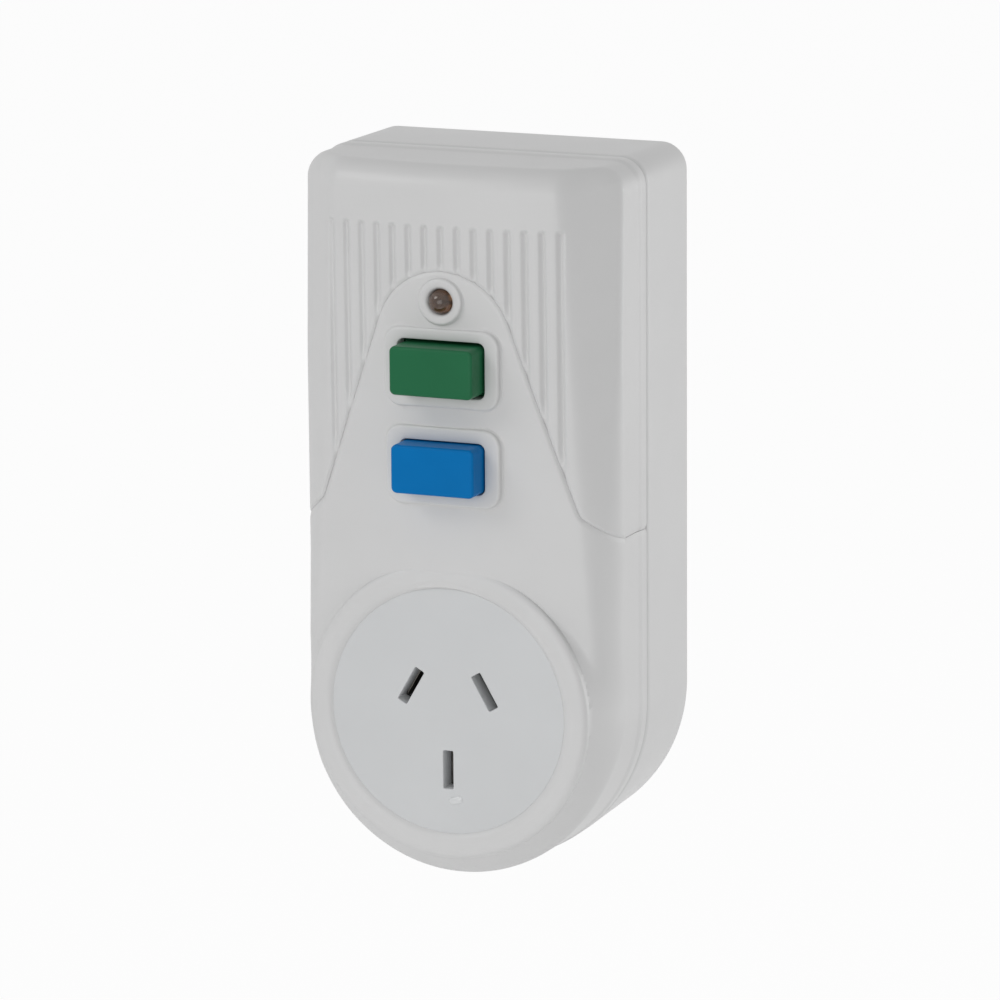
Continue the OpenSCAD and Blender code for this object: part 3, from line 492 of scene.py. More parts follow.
@dataclass(frozen=True)
class Form:
    """Outer form that the shells share.

    Attributes:
        half_w: half of the width.
        low_grow: how much lower the bottom is than a plain half circle, at the parting line.
        depth: depth of the housing.
        top: height of the top above the outlet's centre.
        corner: radius of the top corners.
        wall: thickness of the walls.
        wall_fade: how far beyond the corner's radius the wall's inside starts to follow the outline.
        parting: depth of the line where the shells meet.
        lip: depth of the lip in front of that line.
        lip_step: height of the lip.
        seam: gap between the front shells and the rear shell.
        bell_seam: gap between hood and front cover.
        rim_soft: length of the soft rims at the parting line.
        rim_drop: how far those rims are drawn in.
        crest_radius: radius of the front's curve across.
        lean: slope of the front, in degrees.
        flank_x: where the slanted flank meets the outlet plane.
        flank_taper: change of the flank with height, in degrees.
        flank_drop: how far the flanks' round end lies below the outlet's centre.
        ring_r: radius of the outlet ring.
        ring_top: height at which the front meets the ring's plane.
        skirt_y: depth at which the ring's skirt begins, low down.
        skirt_gain: how much deeper it begins for each millimetre up.
        skirt_low: height at which that starts.
        skirt_high: height at which that ends.
        skirt_in: how far inside the ring's edge it begins.
        skirt_slope: depth that the skirt gains for each millimetre outward.
        skirt_blend: softness between skirt and flank.
        side_soft: radius between flank and side, at a few heights.
        top_soft: radius between front and top.
        crest_blend: softness between front and flank.
        bell_top: height of the arch of the seam.
        bell_r: radius of that arch.
        bell_slope: steep slope of the seam, in degrees.
        foot_slope: mild slope of its foot, in degrees.
        flare_r: radius of the bend between the two.
        shoulder: height at which the seam reaches the side.
        outline_steps: points of the outline in its bottom, a side, a corner and its top.
        top_screws: places of the upper housing screws.
        low_screws: places of the lower housing screws.
    """

    half_w: float = 29.5
    low_grow: float = 0.2
    depth: float = 39.0
    top: float = 94.7
    corner: float = 4.8
    wall: float = 2.4
    wall_fade: float = 0.5
    parting: float = 19.4
    lip: float = 3.5
    lip_step: float = 0.3
    seam: float = 0.03
    bell_seam: float = 0.06
    rim_soft: float = 1.1
    rim_drop: float = 0.32
    crest_radius: float = 110.0
    lean: float = 1.0
    flank_x: float = 23.25
    flank_taper: float = 2.1
    flank_drop: float = 1.2
    ring_r: float = 25.9
    ring_top: float = 26.3
    skirt_y: float = 1.2
    skirt_gain: float = 0.05
    skirt_low: float = -2.0
    skirt_high: float = 8.0
    skirt_in: float = 0.1
    skirt_slope: float = 1.5
    skirt_blend: float = 1.2
    side_soft: tuple[Point, ...] = ((-29.0, 0.5), (-20.0, 1.0), (-12.0, 1.8), (-5.0, 3.4), (2.0, 4.2),
                                    (10.0, 3.2), (25.0, 3.2), (60.0, 0.8), (95.0, 0.6))
    top_soft: float = 4.5
    crest_blend: float = 1.0
    bell_top: float = 76.5
    bell_r: float = 12.5
    bell_slope: float = 70.0
    foot_slope: float = 40.0
    flare_r: float = 3.0
    shoulder: float = 30.5
    outline_steps: tuple[int, int, int, int] = (97, 12, 13, 11)
    top_screws: tuple[Point, ...] = ((-23.7, 89.2), (23.7, 89.2))
    low_screws: tuple[Point, ...] = ((-16.62, -16.62), (16.62, -16.62))

    @property
    def edge_x(self) -> float:
        """Returns half of the width in front of the lip."""
        return self.half_w - self.lip_step

    @property
    def corner_x(self) -> float:
        """Returns how far out the top corners' middles are."""
        return self.half_w - self.corner

    @property
    def corner_z(self) -> float:
        """Returns how high the top corners' middles are."""
        return self.top - self.corner

    @property
    def front_end(self) -> float:
        """Returns the depth at which the front shells end."""
        return self.parting - self.seam / 2

    @property
    def rear_start(self) -> float:
        """Returns the depth at which the rear shell begins."""
        return self.parting + self.seam / 2

    def rim(self) -> list[Point]:
        """Returns how far in and how far from the parting line each step of a soft rim is."""
        return [(self.rim_drop * share ** 2, self.rim_soft * (1.0 - share)) for share in EASE]

    def off_corner(self, x: Array, z: Array) -> tuple[Array, Array]:
        """Returns how far out of and above the top corners' middles places are."""
        return np.abs(x) - self.corner_x, z - self.corner_z

    def crest(self, x: Array | float, z: Array | float) -> Array | float:
        """Returns the depth of the curved front."""
        bow = self.crest_radius - np.sqrt(self.crest_radius ** 2 - x ** 2)
        return bow - math.tan(math.radians(self.lean)) * (z - self.ring_top)

    def base(self, x: Array, z: Array) -> Array:
        """Finds the depth of front, flank and skirt with soft edges between them.

        Args:
            x: places across.
            z: places up.

        Returns:
            The depths.
        """
        level = z + self.flank_drop
        reach = np.where(level < 0.0, np.hypot(x, level), np.abs(x))
        taper = math.tan(math.radians(self.flank_taper))
        flank = reach - self.flank_x + taper * (np.maximum(level, 0.0) - self.flank_drop)
        body = soft_max(self.crest(x, z), flank, self.crest_blend)
        over = np.maximum(np.hypot(x, z) - self.ring_r + self.skirt_in, 0.0)
        lower = self.skirt_gain * (np.clip(z, self.skirt_low, self.skirt_high) - self.skirt_low)
        skirt = self.skirt_y + lower + self.skirt_slope * over
        return -soft_max(-body, -skirt, self.skirt_blend)

    def gap(self, x: Array, z: Array) -> Array:
        """Finds the distance to the outline in front of the lip.

        Args:
            x: places across.
            z: places up.

        Returns:
            The distances, positive inside.
        """
        out, up = self.off_corner(x, z)
        side = self.edge_x - np.where(z < 0.0, np.hypot(x, z), np.abs(x))
        over = np.where(out > 0.0, self.corner - self.lip_step - np.hypot(out, up),
                        self.top - self.lip_step - z)
        return np.where(up > 0.0, over, side)

    def front(self, x: Array, z: Array) -> Array:
        """Finds the depth of the front with the soft edges of its outline.

        Args:
            x: places across.
            z: places up.

        Returns:
            The depths.
        """
        out, up = self.off_corner(x, z)
        angle = np.arctan2(np.maximum(up, 0.0), np.maximum(out, TINY)) / (math.pi / 2.0)
        share = np.where(up > 0.0, smooth(angle), 0.0)
        side = np.interp(z, *np.array(self.side_soft).T)
        radius = side + (self.top_soft - side) * share
        short = np.clip(1.0 - self.gap(x, z) / radius, 0.0, 1.0)
        return self.base(x, z) + radius * (1.0 - np.sqrt(1.0 - short ** 2))

    def normal(self, x: Array, z: Array) -> Array:
        """Finds the outward direction of the nearest piece of outline.

        Args:
            x: places across.
            z: places up.

        Returns:
            Directions across and up.
        """
        out, up = self.off_corner(x, z)
        zones = [z < 0.0, (up > 0.0) & (out > 0.0), up > 0.0]
        across = np.select(zones, [x, np.sign(x) * out, np.zeros_like(x)], np.sign(x))
        rise = np.select(zones, [z, up, np.ones_like(z)], 0.0)
        length = np.maximum(np.hypot(across, rise), TINY)
        return np.stack([across / length, rise / length], axis=-1)

    def inside(self, x: Array, z: Array) -> tuple[Array, Array]:
        """Moves places near the outline inward by the wall.

        Args:
            x: places across.
            z: places up.

        Returns:
            The moved places across and up.
        """
        shift = self.wall * smooth(1.0 - self.gap(x, z) / (self.corner + self.wall_fade))
        toward = self.normal(x, z)
        return x - shift * toward[..., 0], z - shift * toward[..., 1]

    def bell(self, x: Array, away: float) -> Array:
        """Finds the height of the seam between hood and cover.

        Args:
            x: places across.
            away: distance from the seam's middle, positive toward the hood.

        Returns:
            The heights.
        """
        slope, foot = math.radians(self.bell_slope), math.radians(self.foot_slope)
        arch, flare, middle = self.bell_r + away, self.flare_r - away, self.bell_top - self.bell_r
        steep = self.bell_r + middle * math.cos(slope)
        mild = self.half_w * math.sin(foot) + self.shoulder * math.cos(foot)
        spread = math.sin(slope - foot)
        first, second = steep + self.flare_r, mild + self.flare_r
        turn_x = (first * math.cos(foot) - second * math.cos(slope)) / spread
        turn_z = (second * math.sin(slope) - first * math.sin(foot)) / spread
        out = np.abs(x)
        top = middle + np.sqrt(np.maximum(arch ** 2 - out ** 2, 0.0))
        line = (steep + away - out * math.sin(slope)) / math.cos(slope)
        bent = turn_z - np.sqrt(np.maximum(flare ** 2 - (turn_x - out) ** 2, 0.0))
        last = (mild + away - out * math.sin(foot)) / math.cos(foot)
        ends = [arch * math.sin(slope), turn_x - flare * math.sin(slope), turn_x - flare * math.sin(foot)]
        return np.select([out < place for place in ends], [top, line, bent], last)

    def off_bell(self, x: Array, z: Array) -> Array:
        """Finds the distance above the seam.

        Args:
            x: places across.
            z: places up.

        Returns:
            The distances.
        """
        slope = math.radians(self.bell_slope)
        round_off = np.hypot(x, z - self.bell_top + self.bell_r) - self.bell_r
        straight = (z - self.bell(x, 0.0)) * math.cos(slope)
        return np.where(np.abs(x) < self.bell_r * math.sin(slope), round_off, straight)

    def outline(self, inset: float, depth: float) -> Array:
        """Makes the whole outline.

        Args:
            inset: distance inside the largest outline.
            depth: depth at which it stands.

        Returns:
            Points in space.
        """
        bottom, side, corner, top = self.outline_steps
        low, high = self.half_w - inset, self.corner - inset
        levels = self.corner_z * np.linspace(0.05, 0.95, side)
        points = bend((0.0, 0.0), low, 180.0, 360.0, bottom)
        points += [(low, level) for level in levels]
        points += bend((self.corner_x, self.corner_z), high, 0.0, 90.0, corner)
        points += [(self.corner_x * share, self.top - inset) for share in np.linspace(0.9, -0.9, top)]
        points += bend((-self.corner_x, self.corner_z), high, 90.0, 180.0, corner)
        points += [(-low, level) for level in levels[::-1]]
        across, up = np.array(points).T
        return places(across, depth, up)


@dataclass
class FrontShell:
    """What the hood and the front cover have in common.

    Attributes:
        form: outer form of the housing.
        edge_soft: width of the soft edge along the seam.
        edge_drop: how far that edge is set back.
        edge_shares: shares of that depth at the seam's foot and at its top.
        side_share: share of it on the side walls.
        edge_zone: width of the fine columns at the outline.
        crowding: power by which columns and rows crowd toward the outline.
        edge_counts: columns on the flank and in that zone.
        lap_share: share of the wall's thickness in front of the lap that closes the seam.
        lip_soft: length of the soft step at the lip.
        lip_lead: share of that length in front of the lip.
        lip_count: number of its rows.
        thickness: thickness of the front wall.
        post_r: radius of the screw posts.
        post_hole: radius of their holes.
        post_bite: depth of their holes.
    """

    form: Form
    edge_soft: float = 0.75
    edge_drop: float = 0.36
    edge_shares: Point = (1.3, 0.75)
    side_share: float = 0.55
    edge_zone: float = 3.4
    crowding: float = 2.2
    edge_counts: tuple[int, int] = (12, 17)
    lap_share: float = 0.03
    lip_soft: float = 1.4
    lip_lead: float = 0.3
    lip_count: int = 9
    thickness: float = 1.8
    post_r: float = 3.0
    post_hole: float = 1.5
    post_bite: float = 8.0

    def edge_columns(self, start: float) -> Array:
        """Places columns across the flank and its soft edge.

        Args:
            start: where the first of them stands.

        Returns:
            Places across on the right side, the first left out.
        """
        edge_x, zone = self.form.edge_x, self.edge_zone
        flank, fine = self.edge_counts
        edge = edge_x - zone * np.linspace(1.0, 0.0, fine)[1:] ** self.crowding
        return np.concatenate([np.linspace(start, edge_x - zone, flank)[1:], edge])

    def seam_rows(self, columns: Array, side: int) -> list[Array]:
        """Places the rows of the soft edge along the seam.

        Args:
            columns: places across.
            side: 1 above the seam, -1 below it.

        Returns:
            The heights of each row.
        """
        half = self.form.bell_seam / 2
        return [self.form.bell(columns, side * (half + self.edge_soft * share)) for share in EASE]

    def wall_steps(self) -> list[Point]:
        """Shapes the side wall from the lip to the rear rim.

        Returns:
            How far out and how deep each step is.
        """
        form = self.form
        start = form.parting - form.lip
        lip = [(form.lip_step * float(smooth(share)), start + self.lip_soft * (share - self.lip_lead))
               for share in np.linspace(0.0, 1.0, self.lip_count)]
        return lip + [(form.lip_step - drop, form.front_end - far) for drop, far in form.rim()]

    @staticmethod
    def chain(grid: Array) -> Array:
        """Returns a grid's side columns and last row in one chain."""
        return np.concatenate([grid[:, 0], grid[-1, 1:-1], grid[::-1, -1]])

    def shell(self, x: Array, z: Array, relief: Array | float = 0.0, lap: float = 0.0) -> Skin:
        """Closes a grid on the front into a shell with side walls and a lip.

        Args:
            x: places across, rows from the seam to the outline.
            z: places up.
            relief: depth of grooves.
            lap: how far an inner lap reaches past the seam, or 0 for none.

        Returns:
            The surface of the shell.
        """
        form, skin = self.form, Skin()
        back = np.pad(self.edge_drop * (1.0 - EASE) ** 2, (0, len(z) - len(EASE)))
        along = np.interp(z[0], (form.shoulder, form.bell_top), self.edge_shares)
        y = form.front(x, z) + back[:, None] * along + relief
        x = x.copy()
        x[:, 0] += self.side_share * back
        x[:, -1] -= self.side_share * back
        inner_x, inner_z = form.inside(x, z)
        outside = places(x, y, z)
        within = places(inner_x, form.base(inner_x, inner_z) + self.thickness, inner_z)
        outer, inner = skin.add(outside), skin.add(within)
        skin.weave(outer)
        skin.weave(inner)
        edge_x, edge_z = self.chain(x), self.chain(z)
        toward = form.normal(edge_x, edge_z)
        rings = [self.chain(outer)]
        rings += [skin.add(places(edge_x + out * toward[:, 0], depth, edge_z + out * toward[:, 1]))
                  for out, depth in self.wall_steps()]
        rings.append(skin.add(places(self.chain(inner_x), form.front_end, self.chain(inner_z))))
        rings.append(self.chain(inner))
        wall = np.array(rings)
        skin.weave(wall)
        rows = [outer[0]]
        if lap:
            low = outside[0] + self.lap_share * (within[0] - outside[0])
            across = np.zeros_like(low)
            across[:, 2] = form.bell(x[0], lap - form.bell_seam / 2) - z[0]
            rows += [skin.add(points) for points in (low, low + across, within[0] + across)]
        rows.append(inner[0])
        edge = np.array(rows)
        skin.weave(edge)
        for end in (0, -1):
            skin.cap(np.concatenate([wall[:, end], edge[-2:0:-1, end]]))
        return skin

    def post(self, spot: Point, start: float | None = None) -> Skin:
        """Makes a screw post behind the front.

        Args:
            spot: place across and up.
            start: depth of its front end, or None to follow the wall.

        Returns:
            The surface of the post.
        """
        form, turn, back = self.form, full_turn(STEM_STEPS), self.form.front_end
        rings = []
        for size, depth in [(HUB, start), (self.post_r, start), (self.post_r, back), (self.post_hole, back),
                            (self.post_hole, back - self.post_bite), (HUB, back - self.post_bite)]:
            x, z = spot[0] + size * np.cos(turn), spot[1] + size * np.sin(turn)
            rings.append(places(x, form.base(x, z) + form.wall / 2 if depth is None else depth, z))
        return Skin().loft(rings)


@dataclass
class Hood(FrontShell):
    """Ribbed upper front.

    Attributes:
        grooves: number of grooves.
        pitch: distance between grooves.
        groove_half: half of a groove's width at its soft lips.
        groove_depth: depth of a groove.
        groove_top: height at which the grooves end.
        groove_end: length over which they run out.
        groove_foot: share of their depth that is left at the seam.
        groove_fade: distance from the seam at which they are at full depth.
        arch_clear: height above the seam's arch from which the rows are level.
        top_clear: height above the grooves from which the rows follow the top.
        groove_count: columns across a groove.
        row_counts: rows above the seam, beside the grooves, over their ends, under the top edge and round it.
    """

    grooves: int = 15
    pitch: float = 3.0
    groove_half: float = 0.85
    groove_depth: float = 0.6
    groove_top: float = 84.6
    groove_end: float = 0.9
    groove_foot: float = 0.35
    groove_fade: float = 1.5
    arch_clear: float = 2.0
    top_clear: float = 0.3
    groove_count: int = 11
    row_counts: tuple[int, ...] = (30, 4, 9, 6, 15)

    @property
    def middles(self) -> Array:
        """Returns where the grooves' middles stand across."""
        return (np.arange(self.grooves) - (self.grooves - 1) / 2) * self.pitch

    def build(self) -> bpy.types.Object:
        """Builds the hood.

        Returns:
            The piece in metres.
        """
        across = np.linspace(-self.groove_half, self.groove_half, self.groove_count)
        steps = np.append(across, self.pitch / 2)
        ribs = np.concatenate([middle + steps for middle in self.middles])
        edge = self.edge_columns(ribs[-1])
        columns = np.concatenate([-edge[::-1], [-ribs[-1]], ribs, edge])
        z = self.rows(columns)
        x = np.broadcast_to(columns, z.shape)
        piece = self.shell(x, z, self.relief(x, z)).draft("hood_shell")
        for spot in self.form.top_screws:
            combine(piece, self.post(spot), Joining.ADD)
        return release(piece)

    def rows(self, columns: Array) -> Array:
        """Places the rows from the seam to the top.

        Args:
            columns: places across.

        Returns:
            The heights, in rows and columns.
        """
        form = self.form
        rising, beside, over, under, around = self.row_counts
        rows = self.seam_rows(columns, 1)
        start, level = rows[-1], form.bell_top + self.arch_clear
        rows += [start + (level - start) * share for share in np.linspace(0.0, 1.0, rising)[1:]]
        ends, split = self.groove_top - self.groove_end, self.groove_top + self.top_clear
        levels = np.concatenate([np.linspace(level, ends, beside)[1:], np.linspace(ends, split, over)[1:]])
        rows += [np.full_like(columns, height) for height in levels]
        out = np.maximum(np.abs(columns) - form.corner_x, 0.0)
        rim = form.corner_z + np.sqrt(np.maximum((form.corner - form.lip_step) ** 2 - out ** 2, 0.0))
        length = form.top - form.lip_step - split
        turn = np.linspace(0.0, math.pi / 2.0, around)[1:]
        straight = np.linspace(length, form.top_soft, under)[1:]
        left = np.concatenate([straight, form.top_soft * (1.0 - np.sin(turn))])
        rows += [split + (rim - split) * (1.0 - rest / length) for rest in left]
        return np.array(rows)

    def relief(self, x: Array, z: Array) -> Array:
        """Shapes the grooves.

        Args:
            x: places across.
            z: places up.

        Returns:
            The depths of the grooves.
        """
        near = np.min(np.abs(x[..., None] - self.middles), axis=-1)
        dent = 0.5 * (1.0 + np.cos(math.pi * np.clip(near / self.groove_half, 0.0, 1.0)))
        shallow = smooth(self.form.off_bell(x, z) / self.groove_fade)
        shallow = self.groove_foot + (1.0 - self.groove_foot) * shallow
        return self.groove_depth * dent * shallow * smooth((self.groove_top - z) / self.groove_end)

    def dress(self, piece: bpy.types.Object) -> None:
        """Gives the hood its satin finish."""
        install(piece, SHELL, "shell_plastic", "housing", "hood")


@dataclass
class FrontCover(FrontShell):
    """Lower front with the outlet ring, the button frames and the lamp collar.

    Attributes:
        thickness: thickness of its front wall.
        even_half: half of the width with evenly spread columns.
        even_count: number of those columns.
        low_zone: height of the fine rows at the bottom.
        row_counts: rows above that zone and in it.
        lap: how far the inner lap reaches across the seam.
        face_r: radius of the opening for the outlet face.
        flange_r: radius of the seat behind it.
        face_back: depth of that seat.
        ring_back: depth of the ring.
        ring_flare: how much wider the ring is at its back.
        ring_soft: width of the ring's round outer edge.
        ring_drop: depth of that edge.
        ring_lap: how far the cover is cut back round the opening, where the ring takes over.
        ring_cut: depths between which that is cut.
        ring_counts: rings of its inner and outer edge.
        mouth_soft: radius of its inner edge.
        mouth_drop: depth at which that edge meets the outlet face.
        button_z: heights of the two buttons.
        frame_size: width and height of a button frame.
        frame_r: its corner radius.
        frame_out: how far it stands out.
        frame_t: how deep frames and collar reach behind the front.
        frame_in: how much smaller a frame is at its back, on each side.
        frame_edge: steps of its outer edge, as distance outside it and share of its height.
        frame_mouth: steps of its inner edge, as distance outside its hole and depth.
        hole_sizes: width and height of each frame's hole.
        hole_r: corner radius of the hole.
        hole_lap: how far the cover is cut back round a hole, where the frame or collar takes over.
        hole_cut: depths between which that is cut.
        collar_r: radius of the lamp's collar.
        collar_out: how far it stands out.
        collar_soft: radius of its outer edge.
        collar_count: rings of that edge.
        collar_mouth: steps of its inner edge, as distance outside its hole and depth.
        collar_foot: steps of its foot, as distance outside it and depth.
        lamp_hole: radius of its hole.
    """

    thickness: float = 2.4
    even_half: float = 22.5
    even_count: int = 121
    low_zone: float = 8.0
    row_counts: tuple[int, int] = (140, 25)
    lap: float = 0.055
    face_r: float = 21.5
    flange_r: float = 22.9
    face_back: float = 3.55
    ring_back: float = 6.0
    ring_flare: float = 0.1
    ring_soft: float = 1.8
    ring_drop: float = 1.05
    ring_lap: float = 0.4
    ring_cut: Point = (-3.0, 12.0)
    ring_counts: tuple[int, int] = (9, 11)
    mouth_soft: float = 2.4
    mouth_drop: float = 0.72
    button_z: Point = (RESET_Z, TEST_Z)
    frame_size: Point = (21.2, 13.6)
    frame_r: float = 3.0
    frame_out: float = 0.6
    frame_t: float = 2.2
    frame_in: float = 0.5
    frame_edge: tuple[Point, ...] = (
        (0.5, -0.15), (0.3, 0.02), (0.12, 0.12), (0.03, 0.3), (0.0, 0.5), (-0.05, 0.72), (-0.17, 0.88),
        (-0.35, 0.97), (-0.55, 1.0))
    frame_mouth: tuple[Point, ...] = ((0.35, 0.0), (0.1, 0.1), (0.0, 0.35))
    hole_sizes: tuple[Point, Point] = ((16.0, 9.6), (15.6, 8.8))
    hole_r: float = 1.2
    hole_lap: float = 0.5
    hole_cut: Point = (-6.0, 6.0)
    collar_r: float = 4.0
    collar_out: float = 0.7
    collar_soft: float = 0.45
    collar_count: int = 7
    collar_mouth: tuple[Point, ...] = ((0.0, 0.7), (0.15, 0.3), (0.5, 0.05))
    collar_foot: tuple[Point, ...] = ((0.06, -0.12), (0.3, 0.08))
    lamp_hole: float = 2.2

    def build(self) -> bpy.types.Object:
        """Builds the front cover.

        Returns:
            The piece in metres.
        """
        piece = self.body().draft("front_cover_shell")
        profile = [(self.face_r + self.ring_lap, depth) for depth in self.ring_cut]
        combine(piece, Skin().lathe(profile, steps=FACE_STEPS), Joining.CUT)
        combine(piece, self.ring(), Joining.ADD)
        for z, size in zip(self.button_z, self.hole_sizes):
            rings = [section(size, self.hole_r, (0.0, z), self.hole_lap, depth) for depth in self.hole_cut]
            combine(piece, Skin().loft(rings), Joining.CUT)
            combine(piece, self.button_frame(z, size), Joining.ADD)
        profile = [(self.lamp_hole + self.hole_lap, depth) for depth in self.hole_cut]
        combine(piece, Skin().lathe(profile, (0.0, LAMP_Z)), Joining.CUT)
        combine(piece, self.collar(), Joining.ADD)
        for spot in self.form.low_screws:
            combine(piece, self.post(spot, self.ring_back - OVERLAP), Joining.ADD)
        return release(piece)

    def dress(self, piece: bpy.types.Object) -> None:
        """Gives the cover its satin finish."""
        install(piece, SHELL, "shell_plastic", "housing", "front_cover")

    def body(self) -> Skin:
        """Makes the shell without its raised details.

        Returns:
            The surface of the shell.
        """
        form = self.form
        above, fine = self.row_counts
        middle = np.linspace(-self.even_half, self.even_half, self.even_count)
        edge = self.edge_columns(middle[-1])
        columns = np.concatenate([-edge[::-1], middle, edge])
        rows = self.seam_rows(columns, -1)
        start = rows[-1]
        low = -np.sqrt(np.maximum(form.edge_x ** 2 - columns ** 2, 0.0))
        length = form.bell_top + form.edge_x
        left = np.concatenate([np.linspace(length, self.low_zone, above)[1:],
                               self.low_zone * np.linspace(1.0, 0.0, fine)[1:] ** self.crowding])
        rows += [start + (low - start) * (1.0 - rest / length) for rest in left]
        z = np.array(rows)
        skin = self.shell(np.broadcast_to(columns, z.shape), z, lap=self.lap)
        for points in skin.points:
            points[:, 2] *= np.where(points[:, 2] < 0.0, 1.0 + form.low_grow / form.half_w, 1.0)
        return skin

    def ring(self) -> Skin:
        """Makes the flat ring round the outlet.

        Returns:
            The surface of the ring.
        """
        outer, soft, drop, seat = self.form.ring_r, self.ring_soft, self.ring_drop, self.face_back
        profile = [(self.flange_r, self.ring_back), (self.flange_r, seat), (self.face_r, seat)]
        level = self.mouth_soft - self.mouth_drop
        side = math.sqrt(self.mouth_soft ** 2 - level ** 2)
        start = 180.0 + math.degrees(math.atan2(level, side))
        inside, outside = self.ring_counts
        profile += bend((self.face_r + side, self.mouth_soft), self.mouth_soft, start, 270.0, inside)
        profile += [(outer - soft + soft * out, drop + drop * down)
                    for out, down in bend((0.0, 0.0), 1.0, -90.0, 0.0, outside)]
        profile.append((outer + self.ring_flare, self.ring_back))
        return Skin().lathe(profile, steps=RING_STEPS, over=True)

    def button_frame(self, z: float, size: Point) -> Skin:
        """Makes the soft frame round a button.

        Args:
            z: height of the button.
            size: width and height of its hole.

        Returns:
            The surface of the frame.
        """
        spot, face = (0.0, z), float(self.form.crest(0.0, z))
        crown = face - self.frame_out
        back = crown + self.frame_out + self.frame_t
        rings = []
        for out, share in self.frame_edge:
            ring = section(self.frame_size, self.frame_r, spot, out, crown)
            ring[:, 1] = (1.0 - share) * self.form.crest(ring[:, 0], ring[:, 2]) + share * crown
            rings.append(ring)
        rings += [section(size, self.hole_r, spot, out, crown + down) for out, down in self.frame_mouth]
        rings.append(section(size, self.hole_r, spot, 0.0, back))
        rings.append(section(self.frame_size, self.frame_r, spot, -self.frame_in, back))
        return Skin().loft(rings, over=True)

    def collar(self) -> Skin:
        """Makes the collar round the lamp.

        Returns:
            The surface of the collar.
        """
        face, soft = float(self.form.crest(0.0, LAMP_Z)), self.collar_soft
        front, back = face - self.collar_out, face + self.frame_t
        profile = [(self.lamp_hole, back)]
        profile += [(self.lamp_hole + out, front + down) for out, down in self.collar_mouth]
        profile += bend((self.collar_r - soft, front + soft), soft, -90.0, 0.0, self.collar_count)
        profile += [(self.collar_r + out, face + down) for out, down in self.collar_foot]
        profile.append((self.collar_r, back))
        return Skin().lathe(profile, (0.0, LAMP_Z), over=True)


@dataclass(frozen=True)
class PinPattern:
    """Places of the three poles, the same on plug and outlet.

    Attributes:
        reach: distance of the slanted poles from the middle.
        drop: distance of the earth pole below it.
        slant: lean of the slanted poles in degrees.
    """

    reach: float = 7.92
    drop: float = 10.31
    slant: float = 30.0

    def stand(self, pole: Pole, middle: float) -> tuple[Point, float]:
        """Finds where a pole stands.

        Args:
            pole: the pole.
            middle: height of the pattern's middle.

        Returns:
            Its place across and up, and its lean in degrees.
        """
        angle = math.radians(self.slant)
        rise = -self.drop if pole is Pole.EARTH else self.reach * math.sin(angle)
        return (pole.value * self.reach * math.cos(angle), middle + rise), pole.value * self.slant


